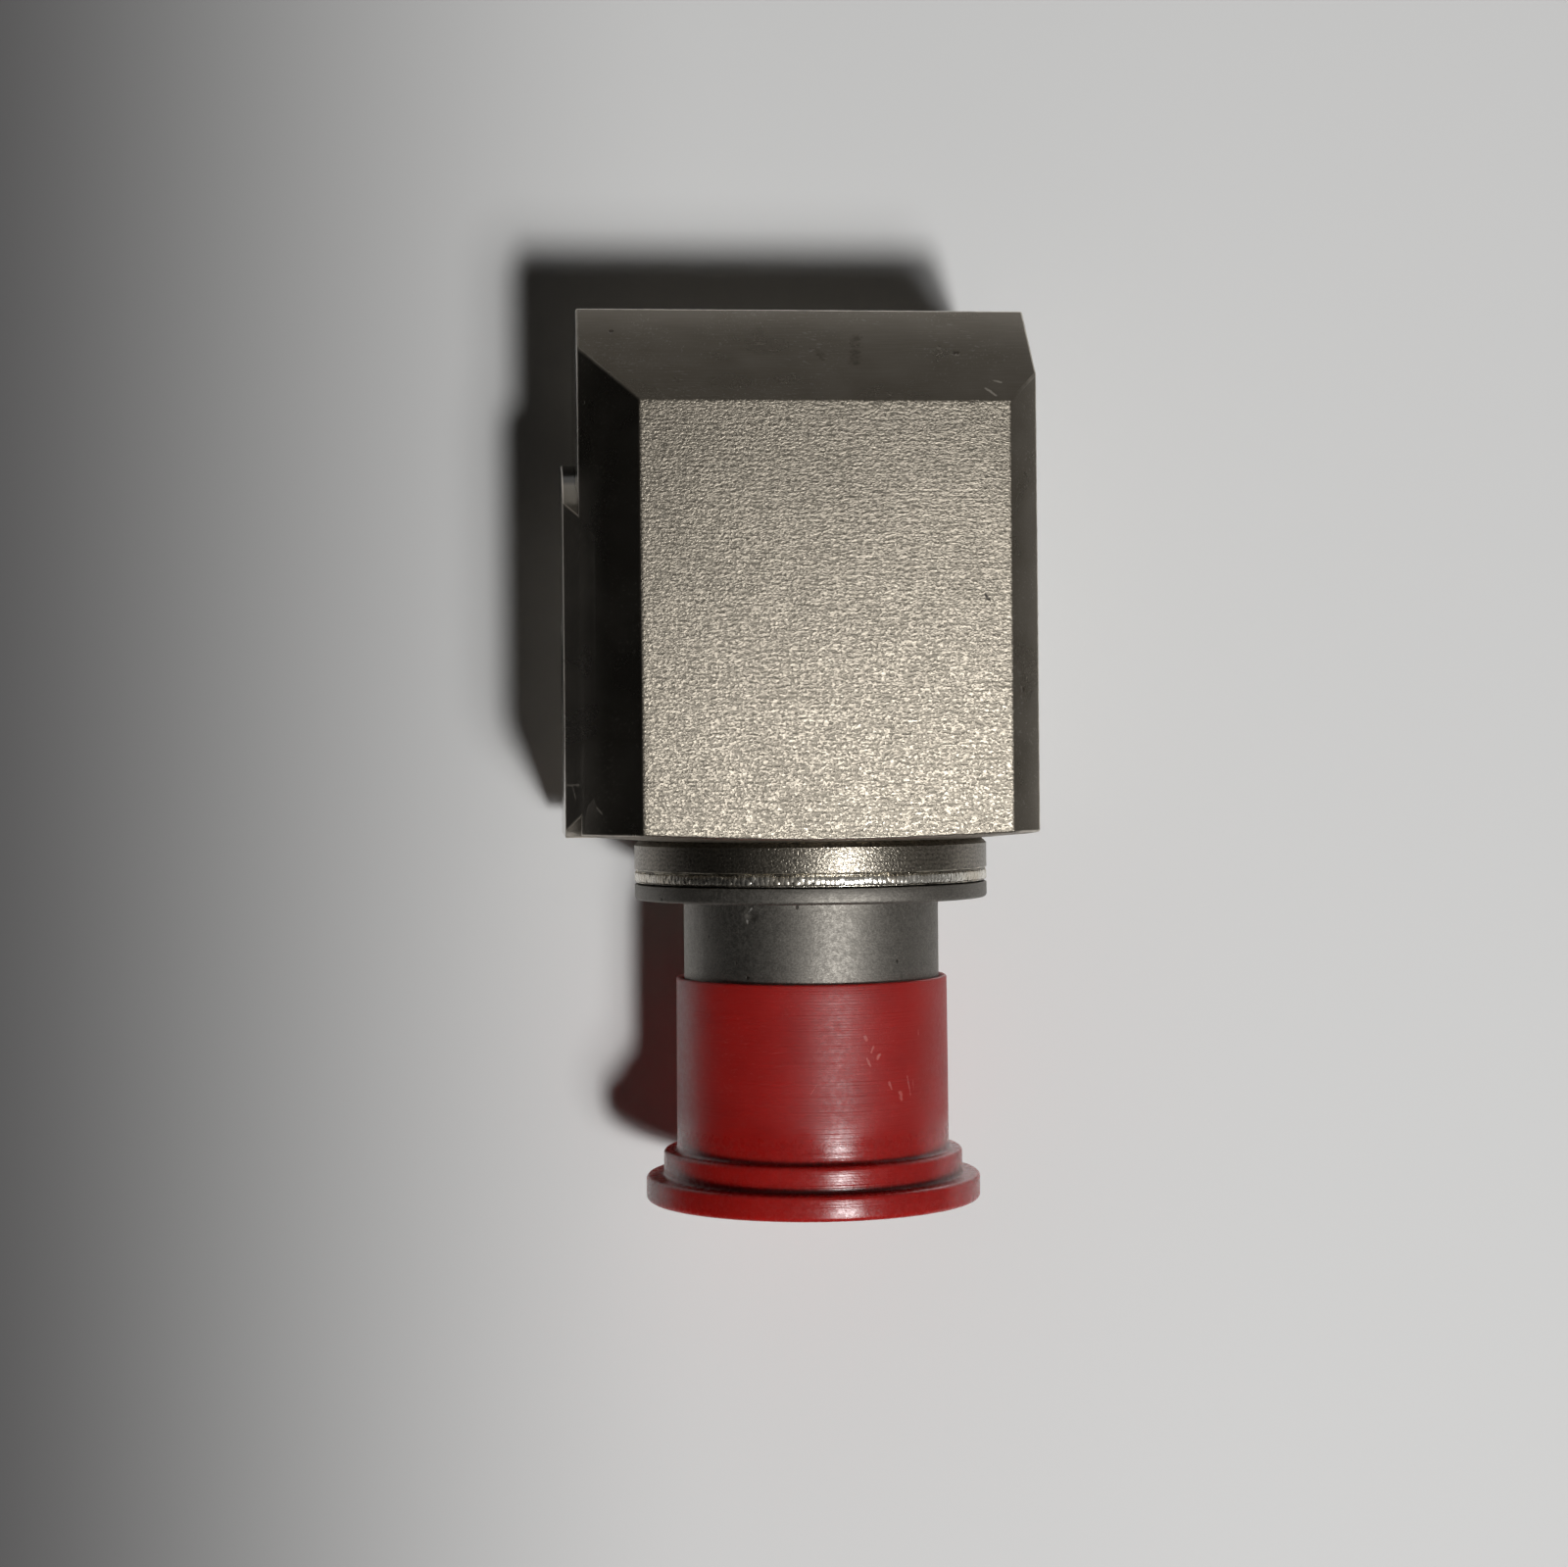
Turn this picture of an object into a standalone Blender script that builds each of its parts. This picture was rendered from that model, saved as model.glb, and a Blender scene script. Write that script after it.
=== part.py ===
"""Side-exit vibration sensor: a machined steel block with a two-pin connector and its red push-on cap.

The frame is the sensor's own. The mounting face lies at z = 0, +Z is the direction it senses, +X points
out of the connector, and the part is even about y = 0. All sizes are in metres.
"""
import math

import bmesh
import bpy
from mathutils import Vector

# Block
BLOCK_LENGTH = 0.03175
BLOCK_WIDTH = 0.0254
BLOCK_HEIGHT = 0.0270
BACK_CHAMFER = 0.00625
TOP_CHAMFER = 0.00187
BOTTOM_CHAMFER = 0.0035
FRONT_RELIEF_ANGLE = math.radians(4.5)

# Mounting boss and its stud hole, cut at the thread's inner diameter
BOSS_DIAMETER = 0.0254
BOSS_HEIGHT = 0.0009
BOSS_SETBACK = 0.0103
STUD_HOLE_DIAMETER = 0.0055
STUD_HOLE_DEPTH = 0.0050
STUD_HOLE_CHAMFER = 0.0005

# Collar and weld on the block's front
AXIS_HEIGHT = 0.01535
COLLAR_DIAMETER = 0.02195
COLLAR_LENGTH = 0.00208
COLLAR_CHAMFER = 0.00035
COLLAR_WALL = 0.001825
WELD_LENGTH = 0.0007
WELD_GROOVE = 0.00012

# Cavity for the sensing element
FLOOR_DROP = 0.0066
FLOOR_SETBACK = 0.0006
SPIGOT_BORE_DEPTH = 0.0010
BOARD_SHOULDER = 0.0010
BOARD_CLEARANCE = 0.00105
BOARD_POCKET_DEPTH = 0.0027

# Connector shell
FLANGE_THICKNESS = 0.00097
FLANGE_CHAMFER = 0.00023
SPIGOT_LENGTH = 0.0025
BARREL_DIAMETER = 0.015875
BARREL_LENGTH = 0.0058
THREAD_RELIEF_WIDTH = 0.0008
THREAD_RELIEF_DEPTH = 0.0006
NOSE_STEP = 0.0000875
NOSE_LENGTH = 0.0104
NOSE_CHAMFER = 0.0004
NOSE_WALL = 0.00165
SOCKET_CHAMFER = 0.0003
SOCKET_DEPTH = 0.0102
SEAL_SHOULDER = 0.0002
SEAL_LEDGE_HEIGHT = 0.0004
SEAL_LEDGE_WIDTH = 0.0005
KEYWAY_WIDTH = 0.0018
KEYWAY_DEPTH = 0.0007

# Glass seal and contact pins
SEAL_THICKNESS = 0.0034
PIN_DIAMETER = 0.00157
PIN_SPACING = 0.0055
PIN_REACH = 0.0078
PIN_TAIL = 0.0030

# Protective cap
CAP_LENGTH = 0.01381
CAP_END_WALL = 0.00128
CAP_WALL = 0.0003825
CAP_TAPER = 0.000045
CAP_RING_HEIGHT = 0.000835
CAP_RING_LENGTH = 0.00156
CAP_FLANGE_HEIGHT = 0.0011
CAP_FLANGE_LENGTH = 0.00152
CAP_ROUND = 0.00025

# Sensing element
PLATE_MARGIN = 0.00015
PLATE_CLEARANCE = 0.00025
ISOLATION_PLATE_THICKNESS = 0.0005
POST_END_MARGIN = 0.0006
POST_SIDE_MARGIN = 0.0008
POST_BASE_THICKNESS = 0.0012
WEB_THICKNESS = 0.0024
WEB_SIDE_MARGIN = 0.0001
WEB_TOP_MARGIN = 0.0005
CRYSTAL_THICKNESS = 0.0008
CRYSTAL_SIZE = 0.0060
ELECTRODE_THICKNESS = 0.0002
MASS_THICKNESS = 0.0028
MASS_OVERHANG = 0.0002
MASS_LIFT = 0.0004
CLAMP_SCREW_DIAMETER = 0.0018
CLAMP_HEAD_RIM = 0.0009
CLAMP_HEAD_HEIGHT = 0.0012
CLAMP_TIP = 0.0002
CLAMP_NUT_RIM = 0.0010
CLAMP_NUT_HEIGHT = 0.0012
SLEEVE_WALL = 0.0003
SLEEVE_FIT = 0.0002
WASHER_RIM = 0.0012
WASHER_THICKNESS = 0.0003

# Shield can over the element
CAN_WALL = 0.0003
CAN_END_CLEARANCE = 0.0003
CAN_SIDE_CLEARANCE = 0.0004
CAN_TOP_CLEARANCE = 0.0004
CAN_LEAD_MARGIN = 0.00045

# Circuit board and what is soldered to it
BOARD_THICKNESS = 0.0008
CHIP_SIZE = (0.0014, 0.0050, 0.0040)
CHIP_PLACE = (0.0020, -0.0024)
CAPACITOR_SIZE = (0.0016, 0.0028, 0.0034)
CAPACITOR_PLACE = (-0.0044, -0.0022)
RESISTOR_SIZE = (0.0006, 0.0020, 0.0012)
BIAS_RESISTOR_PLACE = (-0.0046, 0.0018)
FEEDBACK_RESISTOR_PLACE = (0.0046, 0.0018)
DIODE_DIAMETER = 0.0014
DIODE_LENGTH = 0.0034
DIODE_PLACE = (0.0, 0.0022)

# Leads
LEAD_DIAMETER = 0.0007
LEAD_RISE = 0.0014
PIN_LEAD_SPREAD = 0.0022
SIGNAL_LEAD_RISE = 0.0008
SIGNAL_LEAD_BEND = 0.0010

# Clearances between pieces
SEAT_GAP = 0.00015
BOND_GAP = 0.0001
CAP_FIT = 0.00011
PIN_FIT = 0.00012
TIP_GAP = 0.0004

# Facets on turned pieces
RIM_STEPS = 64
BORE_STEPS = 48
PIN_STEPS = 20

# Reach of cutters past what they cut
CUT_REACH = 0.1
CUT_PAST = 0.002

# Diameters of the connector and its cap, which follow the collar and the barrel
SPIGOT_DIAMETER = COLLAR_DIAMETER - 2 * (COLLAR_WALL + SEAT_GAP)
NOSE_DIAMETER = BARREL_DIAMETER - 2 * NOSE_STEP
SOCKET_DIAMETER = NOSE_DIAMETER - 2 * NOSE_WALL
SEAL_BORE_DIAMETER = SOCKET_DIAMETER + 2 * SEAL_SHOULDER
SEAL_LEDGE_DIAMETER = SOCKET_DIAMETER - 2 * SEAL_LEDGE_HEIGHT
CAP_BORE_DIAMETER = BARREL_DIAMETER + 2 * CAP_FIT
CAP_MOUTH_DIAMETER = CAP_BORE_DIAMETER + 2 * CAP_WALL
CAP_STEP_DIAMETER = CAP_MOUTH_DIAMETER + 2 * CAP_TAPER
CAP_RING_DIAMETER = CAP_STEP_DIAMETER + 2 * CAP_RING_HEIGHT
CAP_FLANGE_DIAMETER = CAP_RING_DIAMETER + 2 * CAP_FLANGE_HEIGHT

# Stations along the connector axis, counted forward from the block's front edge
WELD_FRONT = COLLAR_LENGTH + WELD_LENGTH
FLANGE_REAR = WELD_FRONT + BOND_GAP
FLANGE_FRONT = FLANGE_REAR + FLANGE_THICKNESS
BARREL_FRONT = FLANGE_FRONT + BARREL_LENGTH
NOSE_REAR = BARREL_FRONT + THREAD_RELIEF_WIDTH
NOSE_FRONT = NOSE_REAR + NOSE_LENGTH
SHELL_REAR = FLANGE_REAR - SPIGOT_LENGTH
LEDGE_FRONT = NOSE_FRONT - SOCKET_DEPTH
LEDGE_REAR = LEDGE_FRONT - SEAL_LEDGE_WIDTH
SEAL_FRONT = LEDGE_REAR - SEAT_GAP
SEAL_REAR = SEAL_FRONT - SEAL_THICKNESS
CAP_FLOOR = NOSE_FRONT + TIP_GAP
CAP_FRONT = CAP_FLOOR + CAP_END_WALL
CAP_MOUTH = CAP_FRONT - CAP_LENGTH
FLANGE_STEP = CAP_FRONT - CAP_FLANGE_LENGTH
RING_STEP = FLANGE_STEP - CAP_RING_LENGTH

# Half lengths of the element's stack, from the web outwards
CRYSTAL_X = WEB_THICKNESS / 2 + BOND_GAP
ELECTRODE_X = CRYSTAL_X + CRYSTAL_THICKNESS + BOND_GAP
MASS_X = ELECTRODE_X + ELECTRODE_THICKNESS + BOND_GAP
WASHER_X = MASS_X + MASS_THICKNESS + BOND_GAP
HEAD_X = WASHER_X + WASHER_THICKNESS + BOND_GAP

# Sizes of the element's pieces, its can and its plate, which follow the crystals and the screw
CLAMP_BORE_DIAMETER = CLAMP_SCREW_DIAMETER + 2 * BOND_GAP
CLAMP_HOLE_DIAMETER = CLAMP_BORE_DIAMETER + 2 * (SLEEVE_WALL + SLEEVE_FIT)
MASS_SIZE = CRYSTAL_SIZE + 2 * MASS_OVERHANG
WEB_WIDTH = MASS_SIZE + 2 * WEB_SIDE_MARGIN
WEB_HEIGHT = MASS_LIFT + MASS_SIZE + WEB_TOP_MARGIN
POST_BASE_LENGTH = 2 * (MASS_X + MASS_THICKNESS + POST_END_MARGIN)
POST_BASE_WIDTH = WEB_WIDTH + 2 * POST_SIDE_MARGIN
CAN_INNER_LENGTH = 2 * (HEAD_X + max(CLAMP_HEAD_HEIGHT, CLAMP_NUT_HEIGHT + CLAMP_TIP) + CAN_END_CLEARANCE)
CAN_INNER_WIDTH = POST_BASE_WIDTH + 2 * CAN_SIDE_CLEARANCE
ISOLATION_PLATE_LENGTH = CAN_INNER_LENGTH + 2 * (CAN_WALL + PLATE_MARGIN)
ISOLATION_PLATE_WIDTH = CAN_INNER_WIDTH + 2 * (CAN_WALL + PLATE_MARGIN)

# The cavity, as wide as the plate on its floor needs and as deep as the element and the board need
CAVITY_DIAMETER = 2 * math.hypot(FLOOR_DROP, ISOLATION_PLATE_WIDTH / 2 + PLATE_CLEARANCE)
BOARD_POCKET_DIAMETER = CAVITY_DIAMETER - 2 * BOARD_SHOULDER
TALLEST_COMPONENT = max(CHIP_SIZE[0], CAPACITOR_SIZE[0], RESISTOR_SIZE[0], DIODE_DIAMETER)
CAVITY_DEPTH = (BOSS_SETBACK + CAN_INNER_LENGTH / 2 + CAN_WALL + BOARD_CLEARANCE + TALLEST_COMPONENT
                + BOND_GAP + BOARD_THICKNESS + SEAT_GAP)

# The footprint's middle is the origin, so the front edge stands this far from it
FRONT_X = (BLOCK_LENGTH - CAP_FRONT) / 2
BACK_X = FRONT_X - BLOCK_LENGTH
BOSS_X = FRONT_X - BOSS_SETBACK
TOP_Z = BOSS_HEIGHT + BLOCK_HEIGHT
HALF_WIDTH = BLOCK_WIDTH / 2
FLOOR_Z = AXIS_HEIGHT - FLOOR_DROP
POCKET_X = FRONT_X - CAVITY_DEPTH
BOARD_FRONT_X = POCKET_X + SEAT_GAP + BOARD_THICKNESS

# Levels of the element, from the cavity floor up
PLATE_Z = FLOOR_Z + SEAT_GAP
BASE_Z = PLATE_Z + ISOLATION_PLATE_THICKNESS + SEAT_GAP
WEB_Z = BASE_Z + POST_BASE_THICKNESS
CRYSTAL_Z = WEB_Z + MASS_LIFT + MASS_SIZE / 2
ELECTRODE_BRIDGE_Z = WEB_Z + WEB_HEIGHT + BOND_GAP
CAN_INNER_TOP_Z = ELECTRODE_BRIDGE_Z + ELECTRODE_THICKNESS + CAN_TOP_CLEARANCE
CAN_TOP_Z = CAN_INNER_TOP_Z + CAN_WALL


def clear_scene():
    """Remove every object, so that the script starts from nothing."""
    for thing in list(bpy.data.objects):
        bpy.data.objects.remove(thing, do_unlink=True)


def make_collection(name):
    """Return a new collection under the scene's own."""
    group = bpy.data.collections.new(name)
    bpy.context.scene.collection.children.link(group)
    return group


def make_material(name, colour, roughness, metallic):
    """Return a Principled material of one colour."""
    material = bpy.data.materials.new(name)
    material.use_nodes = True
    shader = material.node_tree.nodes["Principled BSDF"]
    shader.inputs["Base Color"].default_value = (*colour, 1.0)
    shader.inputs["Roughness"].default_value = roughness
    shader.inputs["Metallic"].default_value = metallic
    return material


def place(thing, group, material=None):
    """Put an object in a collection and give it its material."""
    group.objects.link(thing)
    if material is not None:
        thing.data.materials.append(material)
    return thing


def make_cutter(thing):
    """Mark an object as a tool that shapes others and isn't part of the sensor."""
    thing.hide_render = True
    thing.display_type = "WIRE"
    return thing


def shade_round(thing, angle=math.radians(30)):
    """Shade a mesh smooth, with its corners kept sharp."""
    thing.data.shade_smooth()
    thing.data.set_sharp_from_angle(angle=angle)


def box(name, size, centre, group, material=None):
    """Make a box of the given size about a centre."""
    shape = bmesh.new()
    bmesh.ops.create_cube(shape, size=1.0)
    bmesh.ops.scale(shape, vec=Vector(size), verts=shape.verts)
    mesh = bpy.data.meshes.new(name)
    shape.to_mesh(mesh)
    shape.free()
    thing = bpy.data.objects.new(name, mesh)
    thing.location = centre
    return place(thing, group, material)


def half_space(name, point, normal, group):
    """Make a cutter that takes away everything past a plane."""
    direction = Vector(normal).normalized()
    thing = box(name, (CUT_REACH,) * 3, Vector(point) + direction * CUT_REACH / 2, group)
    thing.rotation_mode = "QUATERNION"
    thing.rotation_quaternion = direction.to_track_quat("Z", "Y")
    return make_cutter(thing)


def rod(name, diameter, start, end, steps, group, material=None):
    """Make a round bar between two points."""
    start, end = Vector(start), Vector(end)
    shape = bmesh.new()
    bmesh.ops.create_cone(shape, cap_ends=True, segments=steps, radius1=diameter / 2, radius2=diameter / 2,
                          depth=(end - start).length)
    mesh = bpy.data.meshes.new(name)
    shape.to_mesh(mesh)
    shape.free()
    thing = bpy.data.objects.new(name, mesh)
    thing.location = (start + end) / 2
    thing.rotation_mode = "QUATERNION"
    thing.rotation_quaternion = (end - start).to_track_quat("Z", "Y")
    return place(thing, group, material)


def turned(name, profile, steps, group, material=None, closed=False):
    """Turn a profile about the connector axis.

    The profile is a list of (radius, station) points. It runs from the front to the rear along the outer
    side, and a closed one returns along the bore.
    """
    shape = bmesh.new()
    points = [shape.verts.new((radius, 0.0, station)) for radius, station in profile]
    for first, second in zip(points, points[1:]):
        shape.edges.new((first, second))
    if closed:
        shape.edges.new((points[-1], points[0]))
    mesh = bpy.data.meshes.new(name)
    shape.to_mesh(mesh)
    shape.free()
    thing = bpy.data.objects.new(name, mesh)
    thing.location = (FRONT_X, 0.0, AXIS_HEIGHT)
    thing.rotation_euler = (0.0, math.pi / 2, 0.0)
    screw = thing.modifiers.new("turn", "SCREW")
    screw.axis = "Z"
    screw.angle = 2 * math.pi
    screw.steps = steps
    screw.render_steps = steps
    screw.use_merge_vertices = True
    screw.merge_threshold = 1e-6
    screw.use_smooth_shade = True
    return place(thing, group, material)


def turned_plain(name, radius, rear, front, steps, group, material=None):
    """Turn a plain disc or bar about the connector axis."""
    profile = [(0.0, front), (radius, front), (radius, rear), (0.0, rear)]
    return turned(name, profile, steps, group, material)


def combine(target, tool, operation):
    """Add a Boolean of the given operation to an object."""
    step = target.modifiers.new(tool.name, "BOOLEAN")
    step.operation = operation
    step.solver = "EXACT"
    step.object = tool


def arc(centre_radius, centre_station, radius, start, end, count):
    """Return points of a rounded corner in a turned profile."""
    angles = [start + (end - start) * index / count for index in range(count + 1)]
    return [(centre_radius + radius * math.cos(a), centre_station + radius * math.sin(a)) for a in angles]


def lead(name, route, group, material):
    """Lay a round wire on a smooth curve through the points of its route."""
    points = smooth_route([Vector(point) for point in route])
    curve = bpy.data.curves.new(name, "CURVE")
    curve.dimensions = "3D"
    curve.bevel_depth = LEAD_DIAMETER / 2
    curve.bevel_resolution = 2
    curve.use_fill_caps = True
    spline = curve.splines.new("POLY")
    spline.points.add(len(points) - 1)
    for slot, point in zip(spline.points, points):
        slot.co = (*point, 1.0)
    thing = bpy.data.objects.new(name, curve)
    return place(thing, group, material)


def smooth_route(points, steps=4):
    """Return points of a Catmull-Rom curve through the given ones."""
    ends = [points[0] * 2 - points[1]] + points + [points[-1] * 2 - points[-2]]
    result = []
    for before, first, second, after in zip(ends, ends[1:], ends[2:], ends[3:]):
        for index in range(steps):
            t = index / steps
            result.append(0.5 * (2 * first + (second - before) * t
                                 + (2 * before - 5 * first + 4 * second - after) * t ** 2
                                 + (3 * first - before - 3 * second + after) * t ** 3))
    return result + [points[-1]]


def front_face_station(radius):
    """Return where the relieved front face stands at a distance from the connector axis."""
    return (HALF_WIDTH - radius) * math.tan(FRONT_RELIEF_ANGLE)


def make_housing(parts, tools, steel):
    """Make the block with its boss, collar and weld, bored out for the sensing element."""
    overrun = BLOCK_LENGTH + CUT_PAST
    housing = box("housing", (overrun, BLOCK_WIDTH, BLOCK_HEIGHT),
                  (BACK_X + overrun / 2, 0.0, BOSS_HEIGHT + BLOCK_HEIGHT / 2), parts, steel)
    for step in outer_steps(tools):
        combine(housing, *step)
    for step in inner_steps(tools):
        combine(housing, *step)
    return housing


def outer_steps(tools):
    """Return the tools that shape the outside of the housing, each with its operation."""
    boss_top = BOSS_HEIGHT + min(BLOCK_HEIGHT, CUT_PAST) / 2
    boss = rod("boss_tool", BOSS_DIAMETER, (BOSS_X, 0.0, 0.0), (BOSS_X, 0.0, boss_top), RIM_STEPS, tools)
    make_cutter(boss)
    steps = [(boss, "UNION")]
    for side, sign in (("left", -1), ("right", 1)):
        low = half_space(f"bottom_chamfer_{side}", (0.0, sign * HALF_WIDTH, BOSS_HEIGHT + BOTTOM_CHAMFER),
                         (0, sign, -1), tools)
        high = half_space(f"top_chamfer_{side}", (0.0, sign * HALF_WIDTH, TOP_Z - TOP_CHAMFER),
                          (0, sign, 1), tools)
        back = half_space(f"back_chamfer_{side}", (BACK_X + BACK_CHAMFER, sign * HALF_WIDTH, 0.0),
                          (-1, sign, 0), tools)
        steps += [(low, "DIFFERENCE"), (high, "DIFFERENCE"), (back, "DIFFERENCE")]
    wide = BLOCK_WIDTH + BLOCK_HEIGHT
    relief = turned("front_relief", [(0.0, CUT_REACH), (wide, CUT_REACH), (wide, front_face_station(wide)),
                                     (0.0, front_face_station(0.0))], RIM_STEPS, tools)
    steps.append((make_cutter(relief), "DIFFERENCE"))
    steps.append((make_cutter(make_collar(tools)), "UNION"))
    return steps


def make_collar(tools):
    """Turn the collar with the weld that closes it, rooted inside the block."""
    outer = COLLAR_DIAMETER / 2
    neck = outer - COLLAR_CHAMFER
    face = front_face_station(outer)
    profile = [(0.0, WELD_FRONT), (outer - WELD_GROOVE, WELD_FRONT),
               (outer, WELD_FRONT - WELD_LENGTH / 3), (outer, COLLAR_LENGTH + WELD_LENGTH / 3),
               (outer - WELD_GROOVE, COLLAR_LENGTH), (outer, COLLAR_LENGTH - WELD_GROOVE),
               (outer, face + COLLAR_CHAMFER), (neck, face), (neck, -CUT_PAST), (0.0, -CUT_PAST)]
    return turned("collar_tool", profile, RIM_STEPS, tools)


def inner_steps(tools):
    """Return the tools that bore the cavity and the stud hole, each with its operation."""
    spigot = SPIGOT_DIAMETER / 2 + SEAT_GAP
    cavity = CAVITY_DIAMETER / 2
    pocket = BOARD_POCKET_DIAMETER / 2
    profile = [(0.0, WELD_FRONT + CUT_PAST), (spigot, WELD_FRONT + CUT_PAST), (spigot, -SPIGOT_BORE_DEPTH),
               (cavity, -SPIGOT_BORE_DEPTH), (cavity, -CAVITY_DEPTH), (pocket, -CAVITY_DEPTH),
               (pocket, -CAVITY_DEPTH - BOARD_POCKET_DEPTH), (0.0, -CAVITY_DEPTH - BOARD_POCKET_DEPTH)]
    bore = make_cutter(turned("cavity_tool", profile, BORE_STEPS, tools))
    keep_depth = cavity - FLOOR_DROP + CUT_PAST
    keep_front = -SPIGOT_BORE_DEPTH - FLOOR_SETBACK
    keep_length = CAVITY_DEPTH + BOARD_POCKET_DEPTH + keep_front + CUT_PAST
    floor = box("floor_tool", (keep_length, CAVITY_DIAMETER, keep_depth),
                (FRONT_X + keep_front - keep_length / 2, 0.0, FLOOR_Z - keep_depth / 2), tools)
    combine(bore, make_cutter(floor), "DIFFERENCE")
    hole = make_cutter(rod("stud_hole_tool", STUD_HOLE_DIAMETER, (BOSS_X, 0.0, -CUT_PAST),
                           (BOSS_X, 0.0, STUD_HOLE_DEPTH), BORE_STEPS, tools))
    return [(bore, "DIFFERENCE"), (hole, "DIFFERENCE"), (make_cutter(stud_chamfer(tools)), "DIFFERENCE")]


def stud_chamfer(tools):
    """Make the countersink at the mouth of the stud hole."""
    shape = bmesh.new()
    wide = STUD_HOLE_DIAMETER / 2 + STUD_HOLE_CHAMFER
    depth = wide + CUT_PAST
    bmesh.ops.create_cone(shape, cap_ends=True, segments=BORE_STEPS, radius1=wide + CUT_PAST, radius2=0.0,
                          depth=depth)
    mesh = bpy.data.meshes.new("stud_chamfer_tool")
    shape.to_mesh(mesh)
    shape.free()
    thing = bpy.data.objects.new("stud_chamfer_tool", mesh)
    thing.location = (BOSS_X, 0.0, depth / 2 - CUT_PAST)
    return place(thing, tools)


def make_connector_shell(parts, tools, steel):
    """Turn the flange, barrel and nose in one piece, with the keyway in its socket."""
    flange = COLLAR_DIAMETER / 2
    spigot = SPIGOT_DIAMETER / 2
    barrel = BARREL_DIAMETER / 2
    relief = barrel - THREAD_RELIEF_DEPTH
    nose = NOSE_DIAMETER / 2
    socket = SOCKET_DIAMETER / 2
    ledge = SEAL_LEDGE_DIAMETER / 2
    seal = SEAL_BORE_DIAMETER / 2
    profile = [(socket + SOCKET_CHAMFER, NOSE_FRONT), (nose - NOSE_CHAMFER, NOSE_FRONT),
               (nose, NOSE_FRONT - NOSE_CHAMFER), (nose, NOSE_REAR), (relief, NOSE_REAR),
               (relief, BARREL_FRONT), (barrel, BARREL_FRONT), (barrel, FLANGE_FRONT),
               (flange - FLANGE_CHAMFER, FLANGE_FRONT), (flange, FLANGE_FRONT - FLANGE_CHAMFER),
               (flange, FLANGE_REAR), (spigot, FLANGE_REAR), (spigot, SHELL_REAR), (seal, SHELL_REAR),
               (seal, LEDGE_REAR), (ledge, LEDGE_REAR), (ledge, LEDGE_FRONT), (socket, LEDGE_FRONT),
               (socket, NOSE_FRONT - SOCKET_CHAMFER)]
    shell = turned("connector_shell", profile, RIM_STEPS, parts, steel, closed=True)
    length = SOCKET_DEPTH - SEAL_LEDGE_WIDTH + CUT_PAST
    keyway = box("keyway_tool", (length, KEYWAY_WIDTH, 2 * KEYWAY_DEPTH),
                 (FRONT_X + NOSE_FRONT + CUT_PAST - length / 2, 0.0, AXIS_HEIGHT + socket), tools)
    combine(shell, make_cutter(keyway), "DIFFERENCE")
    return shell


def make_contacts(parts, tools, glass, gold):
    """Make the glass seal with a pin through each of its two holes."""
    radius = SEAL_BORE_DIAMETER / 2 - PIN_FIT
    seal = turned_plain("glass_seal", radius, SEAL_REAR, SEAL_FRONT, BORE_STEPS, parts, glass)
    for name, sign in (("pin_a", -1), ("pin_b", 1)):
        across = sign * PIN_SPACING / 2
        rear = (FRONT_X + SEAL_REAR - PIN_TAIL, across, AXIS_HEIGHT)
        front = (FRONT_X + LEDGE_FRONT + PIN_REACH, across, AXIS_HEIGHT)
        pin = rod(name, PIN_DIAMETER, rear, front, PIN_STEPS, parts, gold)
        shade_round(pin)
        tip = pin.modifiers.new("tip", "BEVEL")
        tip.width = PIN_DIAMETER / 5
        tip.segments = 2
        tip.limit_method = "ANGLE"
        hole = rod(f"{name}_hole_tool", PIN_DIAMETER + 2 * PIN_FIT, rear, front, PIN_STEPS, tools)
        combine(seal, make_cutter(hole), "DIFFERENCE")


def make_cap(parts, plastic):
    """Turn the push-on cap: a thin sleeve with a step ring and a flange at its closed end."""
    mouth = CAP_MOUTH_DIAMETER / 2
    step = CAP_STEP_DIAMETER / 2
    ring = CAP_RING_DIAMETER / 2
    flange = CAP_FLANGE_DIAMETER / 2
    bore = CAP_BORE_DIAMETER / 2
    lip = (mouth - bore) / 3
    quarter = math.pi / 2
    profile = [(0.0, CAP_FRONT)]
    profile += arc(flange - CAP_ROUND, CAP_FRONT - CAP_ROUND, CAP_ROUND, quarter, 0.0, 2)
    profile += arc(flange - CAP_ROUND, FLANGE_STEP + CAP_ROUND, CAP_ROUND, 0.0, -quarter, 2)
    profile += [(ring, FLANGE_STEP)]
    profile += arc(ring - CAP_ROUND, RING_STEP + CAP_ROUND, CAP_ROUND, 0.0, -quarter, 2)
    profile += [(step, RING_STEP), (mouth, CAP_MOUTH + lip), (mouth - lip, CAP_MOUTH),
                (bore + lip, CAP_MOUTH), (bore, CAP_MOUTH + lip), (bore, CAP_FLOOR - CAP_ROUND),
                (bore - CAP_ROUND, CAP_FLOOR), (0.0, CAP_FLOOR)]
    return turned("protective_cap", profile, RIM_STEPS, parts, plastic)


def drilled(target, tools):
    """Cut the clamp screw's hole through a piece of the stack."""
    reach = HEAD_X + CUT_PAST
    hole = rod(f"{target.name}_hole_tool", CLAMP_HOLE_DIAMETER, (BOSS_X - reach, 0.0, CRYSTAL_Z),
               (BOSS_X + reach, 0.0, CRYSTAL_Z), PIN_STEPS, tools)
    combine(target, make_cutter(hole), "DIFFERENCE")


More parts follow.
